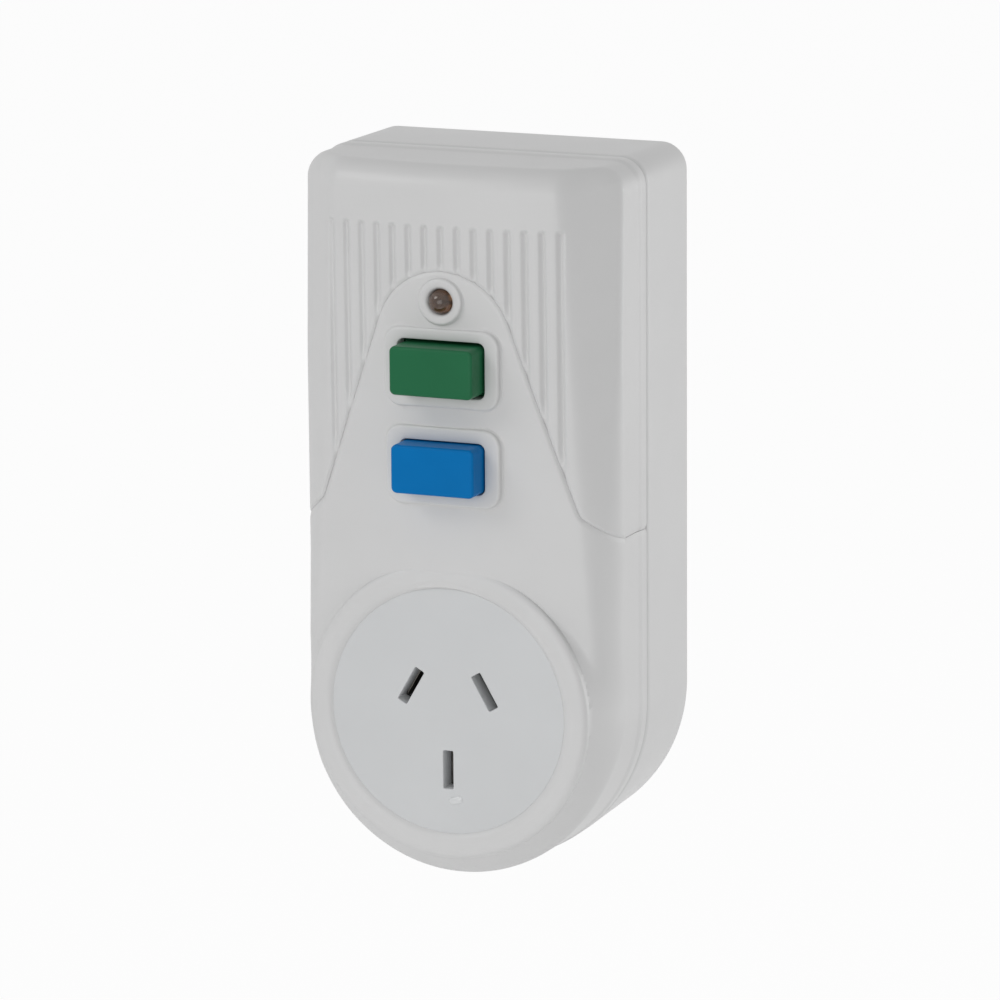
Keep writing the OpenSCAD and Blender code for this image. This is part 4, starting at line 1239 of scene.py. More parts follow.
@dataclass
class PlugPins:
    """Three flat pins, two of them slanted and sleeved.

    Attributes:
        form: outer form of the housing.
        pattern: places of the pins.
        width: width of a pin.
        thick: thickness of a pin.
        soft: radius of its long edges.
        soft_count: points round each of those edges.
        length: how far the slanted pins stand out.
        earth_length: how far the earth pin stands out.
        inner_end: depth at which the slanted pins begin.
        earth_end: depth at which the earth pin begins.
        sleeve_l: length of the sleeves.
        sleeve_t: thickness of the sleeves.
        sleeve_soft: bevel at the sleeves' ends.
        flange_over: how far the inner flange stands over.
        flange_t: thickness of that flange.
        flange_gap: gap between flange and housing.
        hole_gap: gap round a pin in the housing.
        tip: steps of a pin's end, as distances outside its flat and narrow sides and from its end.
    """

    form: Form
    pattern: PinPattern = PinPattern()
    width: float = 6.35
    thick: float = 1.63
    soft: float = 0.22
    soft_count: int = 5
    length: float = 17.06
    earth_length: float = 19.94
    inner_end: float = 30.2
    earth_end: float = 28.4
    sleeve_l: float = 8.5
    sleeve_t: float = 0.4
    sleeve_soft: float = 0.1
    flange_over: float = 1.2
    flange_t: float = 1.2
    flange_gap: float = 0.1
    hole_gap: float = 0.1
    tip: tuple[Place, ...] = (
        (0.0, 0.0, -1.6), (-0.06, -0.15, -1.1), (-0.2, -0.45, -0.45), (-0.36, -0.75, -0.08),
        (-0.44, -0.9, 0.0))

    def ring(self, pole: Pole, depth: float, over: float, tall: float) -> Array:
        """Makes one cross-section of a pin.

        Args:
            pole: pole of the pin.
            depth: its depth.
            over: how far its flat sides stand outside the plain pin.
            tall: how far its narrow sides stand outside.

        Returns:
            Points in space.
        """
        spot, turn = self.pattern.stand(pole, PLUG_Z)
        size = (self.thick + 2 * over, self.width + 2 * tall)
        return section(size, self.soft, spot, 0.0, depth, turn, self.soft_count)

    def run(self, pole: Pole, steps: Sequence[Point], over: bool = False) -> Skin:
        """Makes a solid round a pin.

        Args:
            pole: pole of the pin.
            steps: how far outside the plain pin and how deep each cross-section is.
            over: whether the last cross-section meets the first.

        Returns:
            The surface of the solid.
        """
        return Skin().loft([self.ring(pole, depth, out, out) for out, depth in steps], over)

    def blade(self, pole: Pole) -> Skin:
        """Makes a pin.

        Args:
            pole: pole of the pin.

        Returns:
            The surface of the pin.
        """
        start, length, neck = self.inner_end, self.length, self.sleeve_t
        if pole is Pole.EARTH:
            start, length, neck = self.earth_end, self.earth_length, 0.0
        face = self.form.depth
        flange, sleeve = face - self.form.wall - self.flange_gap, face + self.sleeve_l
        root, wide = flange - self.flange_t, self.flange_over
        steps = [(0.0, start), (0.0, root), (wide, root), (wide, flange), (0.0, flange), (0.0, face),
                 (-neck, face), (-neck, sleeve), (0.0, sleeve)]
        rings = [self.ring(pole, depth, out, out) for out, depth in steps]
        rings += [self.ring(pole, face + length + down, out, tall) for out, tall, down in self.tip]
        return Skin().loft(rings)

    def holes(self, start: float, end: float) -> list[Skin]:
        """Makes the holes for the pins in the back of the housing.

        Args:
            start: depth at which they begin.
            end: depth at which they end.

        Returns:
            One surface for each pin.
        """
        return [self.run(pole, [(self.hole_gap, start), (self.hole_gap, end)]) for pole in Pole]

    def build(self) -> None:
        """Builds the pins and sleeves and puts them on the housing."""
        start, end = self.form.depth, self.form.depth + self.sleeve_l
        thin, soft = self.sleeve_t, self.sleeve_soft
        tube = [(-thin, start), (0.0, start), (0.0, end - soft), (-soft, end), (-thin, end)]
        for pole in Pole:
            name = pole.name.lower()
            blade = self.blade(pole).draft(f"{name}_blade")
            install(release(blade), PIN_BRASS, "pin_brass", "housing", f"{name}_pin")
            if pole is not Pole.EARTH:
                sleeve = self.run(pole, tube, over=True).draft(f"{name}_tube")
                install(release(sleeve), SLEEVE, "sleeve_plastic", "housing", f"{name}_sleeve")


@dataclass
class RearShell:
    """Deep back half of the housing.

    Attributes:
        form: outer form of the housing.
        draft: how much narrower it is at the back, on each side.
        low_draft: how much shorter it is at the back, at the bottom.
        rear_soft: radius of the rear edge.
        rear_count: outlines round that edge.
        tongue_in: distance of the inner tongue from the outline.
        tongue_t: thickness of the tongue.
        tongue_out: how far the tongue reaches into the front shells.
        tongue_root: how far its root reaches behind the parting line.
        tongue_bite: distance of that root from the outline, inside the wall.
        tongue_step: how far the root begins behind the rim.
        screw_hole: radius of the holes for the housing screws.
        recess_r: radius of the recesses for their heads.
        recess_d: depth of those recesses.
        recess_t: thickness of their floors.
        recess_edge: steps of their edges, as distance outside them and depth behind the back.
        tube_r: radius of the tubes round the recesses.
        post_r: radius of the tubes' front part.
    """

    form: Form
    draft: float = 0.17
    low_draft: float = 0.6
    rear_soft: float = 1.2
    rear_count: int = 8
    tongue_in: float = 2.8
    tongue_t: float = 1.2
    tongue_out: float = 2.0
    tongue_root: float = 3.0
    tongue_bite: float = 1.4
    tongue_step: float = 0.3
    screw_hole: float = 1.55
    recess_r: float = 3.1
    recess_d: float = 5.0
    recess_t: float = 2.0
    recess_edge: tuple[Point, ...] = ((0.0, -0.2), (0.25, 0.05), (0.25, OVERLAP))
    tube_r: float = 4.0
    post_r: float = 3.2

    def build(self, pins: PlugPins) -> bpy.types.Object:
        """Builds the rear shell.

        Args:
            pins: the pins that pass through its back.

        Returns:
            The piece in metres.
        """
        form = self.form
        front, rear_in = form.rear_start, form.depth - form.wall
        piece = self.tray().draft("rear_housing")
        tip, root = form.parting - self.tongue_out, form.parting + self.tongue_root
        outer, inner, bite = self.tongue_in, self.tongue_in + self.tongue_t, self.tongue_bite
        step = front + self.tongue_step
        turns = [(outer, tip), (inner, tip), (inner, root), (bite, root), (bite, step), (outer, step)]
        tongue = Skin().loft([form.outline(inset, depth) for inset, depth in turns], over=True)
        combine(piece, tongue, Joining.ADD)
        seat = form.depth - self.recess_d
        floor = seat - self.recess_t
        clear = [(self.post_r, tip - OVERLAP), (self.post_r, front)]
        tube = [(self.post_r, front), (self.post_r, floor), (self.tube_r, floor),
                (self.tube_r, rear_in + OVERLAP)]
        bore = [(self.screw_hole, front - OVERLAP), (self.screw_hole, seat), (self.recess_r, seat)]
        bore += [(self.recess_r + out, form.depth + down) for out, down in self.recess_edge]
        for spot in form.top_screws + form.low_screws:
            combine(piece, Skin().lathe(clear, spot), Joining.CUT)
            combine(piece, Skin().lathe(tube, spot), Joining.ADD)
            combine(piece, Skin().lathe(bore, spot), Joining.CUT)
        for hole in pins.holes(rear_in - OVERLAP, form.depth + OVERLAP):
            combine(piece, hole, Joining.CUT)
        return release(piece)

    def tray(self) -> Skin:
        """Makes the plain shell with its draft.

        Returns:
            The surface of the shell.
        """
        form, soft = self.form, self.rear_soft
        front = form.rear_start
        steps = [(soft - out, form.depth - soft + down)
                 for out, down in bend((0.0, 0.0), soft, 90.0, 0.0, self.rear_count)]
        steps += [(drop, front + far) for drop, far in form.rim()]
        steps += [(form.wall, front), (form.wall, form.depth - form.wall)]
        slope = self.draft / (form.depth - front)
        rings = np.array([form.outline(inset + slope * (depth - front), depth) for inset, depth in steps])
        share = (rings[..., 1] - front) / (form.depth - front)
        grown = 1.0 + (form.low_grow - (form.low_grow + self.low_draft) * share) / form.half_w
        rings[..., 2] *= np.where(rings[..., 2] < 0.0, grown, 1.0)
        return Skin().loft(rings)

    def dress(self, piece: bpy.types.Object) -> None:
        """Gives the rear shell its satin finish."""
        install(piece, REAR, "shell_plastic", "housing", "rear_shell")


@dataclass
class OutletFace:
    """Recessed disc with three slots.

    Attributes:
        pattern: places of the slots.
        radius: radius of the disc.
        flange_r: radius of its flange.
        front: depth of its front.
        back: depth of the flange's front.
        end: depth of the flange's back.
        soft: radius of its front edge.
        slot_size: width and length of a slot.
        slot_soft: corner radius of a slot.
        slot_lead: how far a slot widens at its mouth.
        slot_lip: steps of that mouth, as shares of it outward and in depth.
        slot_t: depth of its narrow part.
        slot_back: how far it widens behind that.
        gate: place of the small moulding mark.
        gate_size: width and height of that mark.
        gate_r: its corner radius as a share of its height.
        gate_turn: tilt of that mark in degrees.
        gate_t: how far that mark stands out.
        gate_sink: how far its edge is sunk into the disc.
        gate_dome: angle of its dome in degrees.
        gate_count: outlines of its dome.
    """

    pattern: PinPattern = PinPattern()
    radius: float = 21.495
    flange_r: float = 22.8
    front: float = 0.7
    back: float = 3.6
    end: float = 4.6
    soft: float = 0.01
    slot_size: Point = (1.85, 6.7)
    slot_soft: float = 0.25
    slot_lead: float = 0.1
    slot_lip: tuple[Point, ...] = ((1.0, 0.0), (0.3, 0.6), (0.0, 1.6))
    slot_t: float = 3.5
    slot_back: float = 0.7
    gate: Point = (1.4, -15.6)
    gate_size: Point = (2.6, 1.3)
    gate_r: float = 0.499
    gate_turn: float = 15.0
    gate_t: float = 0.3
    gate_sink: float = 0.02
    gate_dome: float = 84.0
    gate_count: int = 8

    def build(self) -> bpy.types.Object:
        """Builds the disc with its slots.

        Returns:
            The piece in metres.
        """
        profile = [(HUB, self.front)]
        profile += bend((self.radius - self.soft, self.front + self.soft), self.soft, -90.0, 0.0)
        profile += [(self.radius, self.back), (self.flange_r, self.back), (self.flange_r, self.end),
                    (HUB, self.end)]
        piece = Skin().lathe(profile, steps=FACE_STEPS).draft("outlet_disc")
        floor = self.front + self.slot_t
        steps = [(self.slot_lead, self.front - OVERLAP)]
        steps += [(out * self.slot_lead, self.front + down * self.slot_lead) for out, down in self.slot_lip]
        steps += [(0.0, floor), (self.slot_back, floor), (self.slot_back, self.end + OVERLAP)]
        for pole in Pole:
            spot, turn = self.pattern.stand(pole, 0.0)
            slot = [section(self.slot_size, self.slot_soft, spot, out, depth, turn) for out, depth in steps]
            combine(piece, Skin().loft(slot), Joining.CUT)
        return release(piece)

    def mark(self) -> bpy.types.Object:
        """Builds the small polished mark of the moulding gate.

        Returns:
            The piece in metres.
        """
        wide, high = self.gate_size
        rings = [section((share * wide, share * high), self.gate_r * share * high, self.gate, 0.0,
                         self.front + self.gate_sink - rise * self.gate_t, self.gate_turn)
                 for share, rise in bend((0.0, 0.0), 1.0, 0.0, self.gate_dome, self.gate_count)]
        return release(Skin().loft(rings).draft("gate_mark"), ROUND_SHARP)

    def dress(self, piece: bpy.types.Object) -> None:
        """Gives the disc its slightly cooler finish."""
        install(piece, OUTLET, "outlet_plastic", "housing", "outlet_face")
        install(self.mark(), POLISH, "outlet_plastic", "housing")


@dataclass
class PushButton:
    """A button cap with its flange and stem.

    Attributes:
        form: outer form of the housing.
        name: name of the piece.
        z: height of the button.
        flange_y: depth of the flange's front.
        stem: radius and depth of each ring of the stem.
        finish: surface of the button.
        slot: material slot of the record.
        body: body that it moves with.
        node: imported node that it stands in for.
        size: width and height of the cap.
        corner: corner radius of the cap.
        out: how far the cap stands out.
        soft: radius of the cap's front edge.
        soft_count: outlines round that edge.
        flange_over: how far the flange stands over.
        flange_t: thickness of the flange.
        flange_r: corner radius of the flange.
    """

    form: Form
    name: str
    z: float
    flange_y: float
    stem: Sequence[Point]
    finish: Finish
    slot: str
    body: str
    node: str
    size: Point = (15.2, 8.4)
    corner: float = 1.0
    out: float = 5.1
    soft: float = 0.55
    soft_count: int = 7
    flange_over: float = 1.4
    flange_t: float = 1.0
    flange_r: float = 0.2

    def build(self) -> None:
        """Builds the button and puts it on its body."""
        spot, front = (0.0, self.z), float(self.form.crest(0.0, self.z)) - self.out
        steps = [(over - self.soft, front + self.soft + down)
                 for over, down in bend((0.0, 0.0), self.soft, -90.0, 0.0, self.soft_count)]
        steps.append((0.0, self.flange_y))
        rings = [section(self.size, self.corner, spot, over, depth) for over, depth in steps]
        flange = (self.size[0] + 2 * self.flange_over, self.size[1] + 2 * self.flange_over)
        rings += [section(flange, self.flange_r, spot, 0.0, depth)
                  for depth in (self.flange_y, self.flange_y + self.flange_t)]
        piece = Skin().loft(rings).draft(self.name)
        combine(piece, Skin().lathe(self.stem, spot, STEM_STEPS), Joining.ADD)
        install(release(piece), self.finish, self.slot, self.body, self.node)


@dataclass
class ResetButton(PushButton):
    """Green button, with a conical head that the latch holds."""

    name: str = "reset_cap"
    z: float = RESET_Z
    flange_y: float = 2.68
    stem: Sequence[Point] = ((HUB, 2.9), (2.0, 2.9), (2.0, 14.53), (3.4, 15.93), (3.4, 16.93), (1.5, 18.83),
                             (HUB, 18.83))
    finish: Finish = GREEN
    slot: str = "green_plastic"
    body: str = "reset"
    node: str = "reset_button"


@dataclass
class TestButton(PushButton):
    """Blue button, with a plain stem that pushes the test bridge."""

    name: str = "test_cap"
    z: float = TEST_Z
    flange_y: float = 2.98
    stem: Sequence[Point] = ((HUB, 3.2), (1.5, 3.2), (1.5, 11.48), (HUB, 11.48))
    finish: Finish = BLUE
    slot: str = "blue_plastic"
    body: str = "test"
    node: str = "test_button"


@dataclass
class Lamp:
    """Clear dome of the indicator with a cup behind it.

    Attributes:
        radius: radius of the dome.
        dome_count: rings of the dome.
        front: depth of the dome's front.
        back: depth of the flange's front.
        flange: how far the flange stands over.
        flange_t: thickness of the flange.
        cup_y: distance of the cup's rim behind the dome's middle.
        cup_r: inner radius of the cup.
        cup_out: its outer radius as a share of that.
        cup_floor: radius of its floor as a share of that.
        cup_depth: depth of its floor.
        cup_t: its whole depth.
    """

    radius: float = 2.1
    dome_count: int = 20
    front: float = -2.689
    back: float = 3.01
    flange: float = 0.5
    flange_t: float = 1.2
    cup_y: float = 0.9
    cup_r: float = 1.3
    cup_out: float = 1.1
    cup_floor: float = 0.35
    cup_depth: float = 1.0
    cup_t: float = 1.6

    def build(self) -> None:
        """Builds the lens and the cup and puts them on the housing."""
        spot, middle = (0.0, LAMP_Z), self.front + self.radius
        wide, end = self.radius + self.flange, self.back + self.flange_t
        dome = bend((0.0, middle), self.radius, -90.0, 0.0, self.dome_count)
        lens = [(max(radius, HUB), depth) for radius, depth in dome]
        lens += [(self.radius, self.back), (wide, self.back), (wide, end), (HUB, end)]
        piece = Skin().lathe(lens, spot, COIL_STEPS).draft("lamp_lens")
        install(release(piece), LENS, "lamp_plastic", "housing", "lamp")
        rim, outer = middle + self.cup_y, self.cup_out * self.cup_r
        floor, back = rim + self.cup_depth, rim + self.cup_t
        cup = [(HUB, floor), (self.cup_floor * self.cup_r, floor), (self.cup_r, rim), (outer, rim),
               (outer, back), (HUB, back)]
        piece = Skin().lathe(cup, spot, STEM_STEPS).draft("lamp_cup")
        install(release(piece), LAMP_CUP, "steel", "housing")


@dataclass
class Coil:
    """Round wire wound about an axis.

    Attributes:
        radius: radius of the wire's middle line.
        wire: radius of the wire.
        turns: number of live turns.
        start: first end of the axis.
        end: last end of the axis.
        closed: turns at each end that lie flat.
        flat: rise of those turns in wire radii.
        steps: cross-sections in each turn.
        sides: points in each cross-section.
    """

    radius: float
    wire: float
    turns: float
    start: Place
    end: Place
    closed: float = 0.9
    flat: float = 2.2
    steps: int = 36
    sides: int = 10

    def wind(self, skin: Skin) -> Skin:
        """Adds the wire to a surface.

        Args:
            skin: the surface that it is added to.

        Returns:
            The same surface.
        """
        first, last = Vector(self.start), Vector(self.end)
        axis = (last - first).normalized()
        side = axis.orthogonal().normalized()
        other = axis.cross(side)
        flat = self.flat * self.wire
        live = (last - first).length - 2 * self.wire - 2 * flat
        whole = self.turns + 2 * self.closed
        count = int(self.steps * whole)
        rings = []
        for number in range(count + 1):
            turned = number / count * whole
            rise = self.wire + min(turned / self.closed, 1.0) * flat
            rise += min(max((turned - self.closed) / self.turns, 0.0), 1.0) * live
            rise += max((turned - self.closed - self.turns) / self.closed, 0.0) * flat
            out = math.cos(2.0 * math.pi * turned) * side + math.sin(2.0 * math.pi * turned) * other
            middle = first + axis * rise + self.radius * out
            rings.append([middle + self.wire * (math.cos(turn) * out + math.sin(turn) * axis)
                          for turn in full_turn(self.sides)])
        return skin.loft(rings)


@dataclass
class Springs:
    """The springs of buttons, carrier and plunger.

    Attributes:
        seat: depth of the seat that the button springs stand on.
        reset_front: depth of the reset spring's front end.
        test_front: depth of the test spring's front end.
        reset_keep: share of the reset spring's length left when it is pressed.
        test_keep: share of the test spring's length left when it is pressed.
        plunger_keep: share of the plunger spring's length left when it is drawn in.
        opening_x: how far out the opening springs stand.
        opening_front: depth of their front ends.
        opening_back: depth of their back ends.
        plunger_low: lower end of the plunger's spring.
        plunger_high: upper end of its spring.
        wire: radius of the wire.
        opening_wire: radius of the opening springs' wire.
        reset_r: radius of the reset spring.
        test_r: radius of the test spring.
        plunger_r: radius of the plunger's spring.
        opening_r: radius of the opening springs.
        button_turns: live turns of the button springs.
        plunger_turns: live turns of the plunger's spring.
        opening_turns: live turns of the opening springs.
    """

    seat: float = 8.98
    reset_front: float = 3.68
    test_front: float = 3.98
    reset_keep: float = 0.528
    test_keep: float = 0.70
    plunger_keep: float = 0.535
    opening_x: float = 9.5
    opening_front: float = 9.98
    opening_back: float = 13.53
    plunger_low: float = 84.8
    plunger_high: float = 89.1
    wire: float = 0.3
    opening_wire: float = 0.25
    reset_r: float = 3.0
    test_r: float = 2.5
    plunger_r: float = 2.65
    opening_r: float = 1.25
    button_turns: float = 3.0
    plunger_turns: float = 2.5
    opening_turns: float = 1.6

    def build(self) -> None:
        """Builds all springs."""
        depth, upward = Vector((0.0, 1.0, 0.0)), Vector((0.0, 0.0, 1.0))
        anchor = OUTLET_CENTRE + self.seat * MM * depth
        ends = (0.0, self.seat, RESET_Z), (0.0, self.reset_front, RESET_Z)
        reset = Coil(self.reset_r, self.wire, self.button_turns, *ends)
        self.press(reset, "reset", "reset_press", depth, anchor, self.reset_keep)
        ends = (0.0, self.seat, TEST_Z), (0.0, self.test_front, TEST_Z)
        test = Coil(self.test_r, self.wire, self.button_turns, *ends)
        self.press(test, "test", "test_press", depth, anchor, self.test_keep)
        ends = (0.0, PLUNGER_Y, self.plunger_low), (0.0, PLUNGER_Y, self.plunger_high)
        plunger = Coil(self.plunger_r, self.wire, self.plunger_turns, *ends)
        foot = OUTLET_CENTRE + self.plunger_low * MM * upward
        self.press(plunger, "plunger", "plunger_slide", upward, foot, self.plunger_keep)
        self.opening()

    @staticmethod
    def press(coil: Coil, name: str, joint: str, axis: Vector, anchor: Vector, keep: float) -> None:
        """Puts a spring on the housing.

        Args:
            coil: the spring.
            name: what it belongs to.
            joint: name of the joint; not used.
            axis: direction in which it shortens; not used.
            anchor: place of the end that stays; not used.
            keep: share of its length that is left; not used.
        """
        piece = release(coil.wind(Skin()).draft(f"{name}_wire"), ROUND_SHARP)
        install(piece, STEEL, "steel", "housing", f"{name}_spring")
        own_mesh(piece)

    def opening(self) -> None:
        """Builds the two opening springs between reset button and carrier."""
        skin = Skin()
        for x in (-self.opening_x, self.opening_x):
            ends = (x, self.opening_front, RESET_Z), (x, self.opening_back, RESET_Z)
            Coil(self.opening_r, self.opening_wire, self.opening_turns, *ends).wind(skin)
        piece = release(skin.draft("opening_wires"), ROUND_SHARP)
        piece.data.materials.append(STEEL.material())
        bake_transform(piece)
        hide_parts("opening_springs")
        LOG.info("%s between reset and carrier", piece.name)


@dataclass
class Windings:
    """Enamelled wire on the solenoid's bobbin and on the sensing core.

    Attributes:
        coil_low: lower end of the solenoid's coil.
        coil_high: upper end of its coil.
        coil_in: inner radius of its coil.
        coil_r: outer radius of its coil.
        coil_wire: radius of its wire.
        coil_under: how far under the outer layer the solid of inner layers lies, in wire radii.
        coil_pitch: pitch of the outer layer in wire radii.
        coil_spare: turns that its ends take up.
        core_spot: place of the sensing core across and up.
        core_front: depth of its winding's front.
        core_back: depth of its winding's back.
        core_in: inner radius of its winding.
        core_r: outer radius of its winding.
        core_wire: radius of its wire.
        core_soft: radius of the wire's bends.
        core_counts: points in each bend and round the wire.
        core_turns: number of turns on it.
    """

    coil_low: float = 73.9
    coil_high: float = 82.7
    coil_in: float = 3.0
    coil_r: float = 5.6
    coil_wire: float = 0.16
    coil_under: float = 1.6
    coil_pitch: float = 2.04
    coil_spare: float = 3.2
    core_spot: Point = (16.0, 79.0)
    core_front: float = 18.75
    core_back: float = 24.95
    core_in: float = 4.2
    core_r: float = 7.8
    core_wire: float = 0.25
    core_soft: float = 0.4
    core_counts: tuple[int, int] = (4, 8)
    core_turns: int = 48

    def build(self) -> None:
        """Builds both windings and puts them on the housing."""
        install(self.coil(), COPPER, "copper", "housing", "solenoid_coil")
        install(self.core(), COPPER, "copper", "housing", "toroid_winding")

    def coil(self) -> bpy.types.Object:
        """Builds the solenoid's coil, a solid of inner layers under an outer layer of wire.

        Returns:
            The piece in metres.
        """
        turn, wire = full_turn(COIL_STEPS), self.coil_wire
        under = self.coil_r - self.coil_under * wire
        profile = [(self.coil_in, self.coil_low), (under, self.coil_low), (under, self.coil_high),
                   (self.coil_in, self.coil_high)]
        skin = Skin().loft([places(radius * np.cos(turn), PLUNGER_Y + radius * np.sin(turn), z)
                            for radius, z in profile], over=True)
        turns = (self.coil_high - self.coil_low) / (self.coil_pitch * wire) - self.coil_spare
        ends = (0.0, PLUNGER_Y, self.coil_low), (0.0, PLUNGER_Y, self.coil_high)
        Coil(self.coil_r - wire, wire, turns, *ends).wind(skin)
        return release(skin.draft("solenoid_wire"), ROUND_SHARP)

    def core(self) -> bpy.types.Object:
        """Builds the loops of wire round the sensing core.

        Returns:
            The piece in metres.
        """
        wire, (corner, sides) = self.core_wire, self.core_counts
        loop = round_rect(self.core_r - self.core_in - 2 * wire, self.core_back - self.core_front - 2 * wire,
                          self.core_soft, steps=corner)
        along = np.roll(loop, -1, axis=0) - np.roll(loop, 1, axis=0)
        length = np.linalg.norm(along, axis=1, keepdims=True)
        outward = np.stack([along[:, 1], -along[:, 0]], axis=-1) / length
        angle = full_turn(self.core_turns * len(loop))[:, None]
        place, lean = np.tile(loop, (self.core_turns, 1)), np.tile(outward, (self.core_turns, 1))
        turn = full_turn(sides)
        over, aside = wire * np.cos(turn)[None, :], wire * np.sin(turn)[None, :]
        reach = (self.core_r + self.core_in) / 2 + place[:, :1] + over * lean[:, :1]
        depth = (self.core_back + self.core_front) / 2 + place[:, 1:] + over * lean[:, 1:]
        x = self.core_spot[0] + reach * np.cos(angle) - aside * np.sin(angle)
        z = self.core_spot[1] + reach * np.sin(angle) + aside * np.cos(angle)
        return release(Skin().loft(places(x, depth, z), over=True).draft("toroid_wire"), ROUND_SHARP)


@dataclass
class Innards:
    """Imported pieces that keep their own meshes.

    Attributes:
        finishes: each surface with the names of its nodes.
    """

    finishes: tuple[tuple[Finish, str], ...] = (
        (BASE, "outlet_base"),
        (CONTACT_BRASS, "active_receptacle neutral_receptacle earth_receptacle"),
        (CONTACT_BRASS, "active_line_contact neutral_line_contact test_pads"),
        (BRIDGE, "active_bridge neutral_bridge test_bridge"),
        (CARRIER, "contact_carrier"),
        (FRAME, "contact_frame"),
        (STEEL, "latch plunger solenoid_frame lamp_leads housing_screws board_screws"),
        (BOBBIN, "solenoid_bobbin"),
        (FERRITE, "toroid_core"),
        (BROWN, "active_wire"),
        (LIGHT_BLUE, "neutral_wire"),
        (RESISTOR, "test_resistor"),
        (LAMINATE, "circuit_board"),
        (CHIP, "control_chip thyristor diodes"),
        (CAN, "capacitor"),
        (VARISTOR, "varistor"))

    def dress(self) -> None:
        """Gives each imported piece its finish."""
        for finish, names in self.finishes:
            for name in names.split():
                node = frame["nodes"][name]
                node.data.materials.clear()
                node.data.materials.append(finish.material())
                LOG.info("%s dressed as %s", name, finish.name)


@dataclass(frozen=True)
class SoftLight:
    """A soft square light that faces the object.

    Attributes:
        name: name of the light.
        place: where it hangs, in metres.
        size: its width in metres.
        power: its power in watts.
    """

    name: str
    place: Place
    size: float
    power: float

    def hang(self, aim: Vector) -> None:
        """Hangs the light.

        Args:
            aim: place that it faces.
        """
        data = bpy.data.lights.new(self.name, "AREA")
        data.size = self.size
        data.energy = self.power
        lamp = bpy.data.objects.new(self.name, data)
        lamp.location = self.place
        lamp.rotation_euler = (aim - Vector(self.place)).to_track_quat("-Z", "Y").to_euler()
        bpy.context.scene.collection.objects.link(lamp)


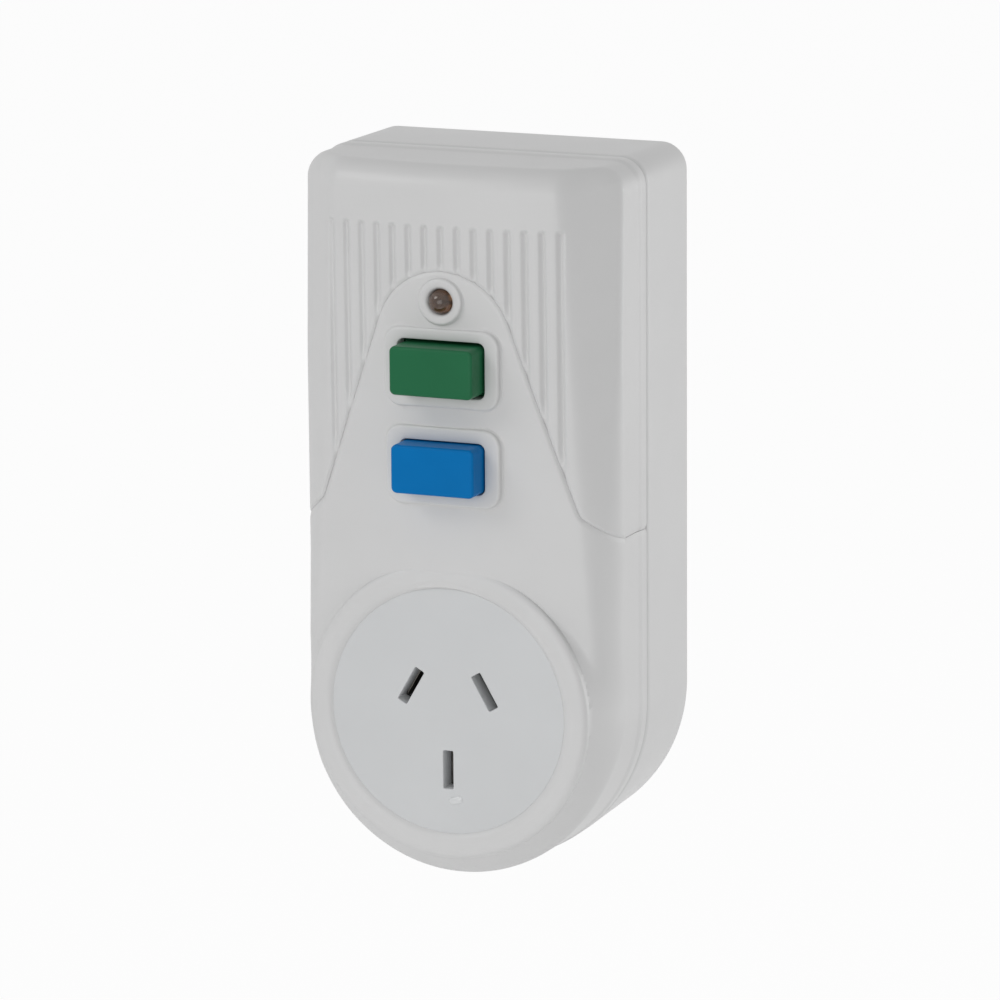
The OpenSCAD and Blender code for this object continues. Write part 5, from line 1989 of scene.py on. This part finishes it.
@dataclass
class Studio:
    """Camera, floor, light and background.

    Attributes:
        azimuth: direction of the camera from the front, in degrees.
        elevation: height of the camera, in degrees.
        roll: tilt of the picture, in degrees.
        lens: focal length for a sensor of the usual width.
        sensor: that width.
        aside: how far the object is off the camera's axis across, in millimetres.
        below: how far it is off the camera's axis up, in millimetres.
        distance: distance of the camera in millimetres.
        view_end: how far the camera sees, in metres.
        floor_z: height of the floor in metres.
        floor_half: half of the floor's width in metres.
        floor_tone: grey of the floor.
        floor_glow: share of plain white in what the camera sees of the floor.
        white: colour of the background.
        ambient: strength of the even light.
        aim: place that the lights face, in metres.
        lights: the lights.
    """

    azimuth: float = 23.11
    elevation: float = 12.0
    roll: float = 0.38
    lens: float = 235.62
    sensor: float = 36.0
    aside: float = -9.2177
    below: float = -36.3171
    distance: float = 1119.3
    view_end: float = 50.0
    floor_z: float = -0.30
    floor_half: float = 12.0
    floor_tone: float = 0.85
    floor_glow: float = 0.95
    white: tuple[float, ...] = (1.0, 1.0, 1.0, 1.0)
    ambient: float = 0.5
    aim: Place = (0.0, -0.02, -0.04)
    lights: tuple[SoftLight, ...] = (
        SoftLight("key_light", (-0.75, -0.85, 0.75), 0.5, 3.6),
        SoftLight("front_light", (0.15, -1.2, 0.0), 0.8, 3.7),
        SoftLight("side_light", (0.9, 0.72, 0.0), 0.7, 4.55),
        SoftLight("low_light", (0.03, -0.12, -0.29), 0.3, 0.14))

    def build(self) -> None:
        """Builds everything that is not part of the object."""
        self.camera()
        self.floor()
        self.world()
        for light in self.lights:
            light.hang(Vector(self.aim))
        bpy.context.scene.view_settings.view_transform = "Standard"
        LOG.info("studio ready")

    def camera(self) -> None:
        """Sets the camera as in the photograph."""
        turn, rise, tilt = (math.radians(angle) for angle in (self.azimuth, self.elevation, self.roll))
        right = Vector((math.cos(turn), math.sin(turn), 0.0))
        up = Vector((-math.sin(turn) * math.sin(rise), math.cos(turn) * math.sin(rise), math.cos(rise)))
        back = Vector((math.sin(turn) * math.cos(rise), -math.cos(turn) * math.cos(rise), math.sin(rise)))
        across = math.cos(tilt) * right - math.sin(tilt) * up
        upward = math.sin(tilt) * right + math.cos(tilt) * up
        place = OUTLET_CENTRE + MM * (self.distance * back - self.aside * across - self.below * upward)
        data = bpy.data.cameras.new("camera")
        data.lens = self.lens
        data.sensor_width = self.sensor
        data.clip_end = self.view_end
        camera = bpy.data.objects.new("camera", data)
        camera.matrix_world = Matrix.Translation(place) @ Matrix((across, upward, back)).transposed().to_4x4()
        bpy.context.scene.collection.objects.link(camera)
        bpy.context.scene.camera = camera

    def floor(self) -> None:
        """Lays a pale floor that shows white to the camera but keeps a shadow."""
        half = self.floor_half
        mesh = bpy.data.meshes.new("floor")
        corners = [(-half, -half), (half, -half), (half, half), (-half, half)]
        mesh.from_pydata([(x, y, self.floor_z) for x, y in corners], [], [(0, 1, 2, 3)])
        made = bpy.data.materials.new("floor_white")
        made.use_nodes = True
        tree = made.node_tree
        tree.nodes.clear()
        matt = add_node(tree, "BsdfDiffuse", Color=(self.floor_tone, self.floor_tone, self.floor_tone, 1.0))
        glow, mild = add_node(tree, "Emission"), add_node(tree, "MixShader", Fac=self.floor_glow)
        join(tree, (matt, 0, mild, 1), (glow, 0, mild, 2))
        self.show(tree, "OutputMaterial", matt, mild)
        mesh.materials.append(made)
        floor = bpy.data.objects.new("floor", mesh)
        bpy.context.scene.collection.objects.link(floor)

    def world(self) -> None:
        """Sets a white background and an even light."""
        made = bpy.data.worlds.new("studio")
        made.use_nodes = True
        bpy.context.scene.world = made
        tree = made.node_tree
        tree.nodes.clear()
        even = add_node(tree, "Background", Color=self.white, Strength=self.ambient)
        self.show(tree, "OutputWorld", even, add_node(tree, "Background", Color=self.white))

    @staticmethod
    def show(tree: bpy.types.NodeTree, output: str, lit: bpy.types.Node, seen: bpy.types.Node) -> None:
        """Shows one shader to camera, glossy and transmitted rays and another to all other rays.

        Args:
            tree: nodes of the floor or the world.
            output: type of the output node.
            lit: the shader that lights the object.
            seen: the shader that is seen.
        """
        rays, mix, out = (add_node(tree, kind) for kind in ("LightPath", "MixShader", output))
        either, any_of = add_node(tree, "Math"), add_node(tree, "Math")
        for node in (either, any_of):
            node.operation = "MAXIMUM"
        join(tree, (rays, "Is Camera Ray", either, 0), (rays, "Is Glossy Ray", either, 1),
             (either, 0, any_of, 0), (rays, "Is Transmission Ray", any_of, 1), (any_of, 0, mix, "Fac"),
             (lit, 0, mix, 1), (seen, 0, mix, 2), (mix, 0, out, "Surface"))


def main() -> None:
    """Builds the pieces in order."""
    logging.basicConfig(level=logging.INFO, format="%(name)s: %(message)s")
    form = Form()
    hood = Hood(form)
    hood.dress(hood.build())
    cover = FrontCover(form)
    cover.dress(cover.build())
    pins = PlugPins(form)
    rear = RearShell(form)
    rear.dress(rear.build(pins))
    pins.build()
    outlet = OutletFace()
    outlet.dress(outlet.build())
    ResetButton(form).build()
    TestButton(form).build()
    Lamp().build()
    Springs().build()
    Windings().build()
    Innards().dress()
    Studio().build()


if __name__ == "__main__":
    main()
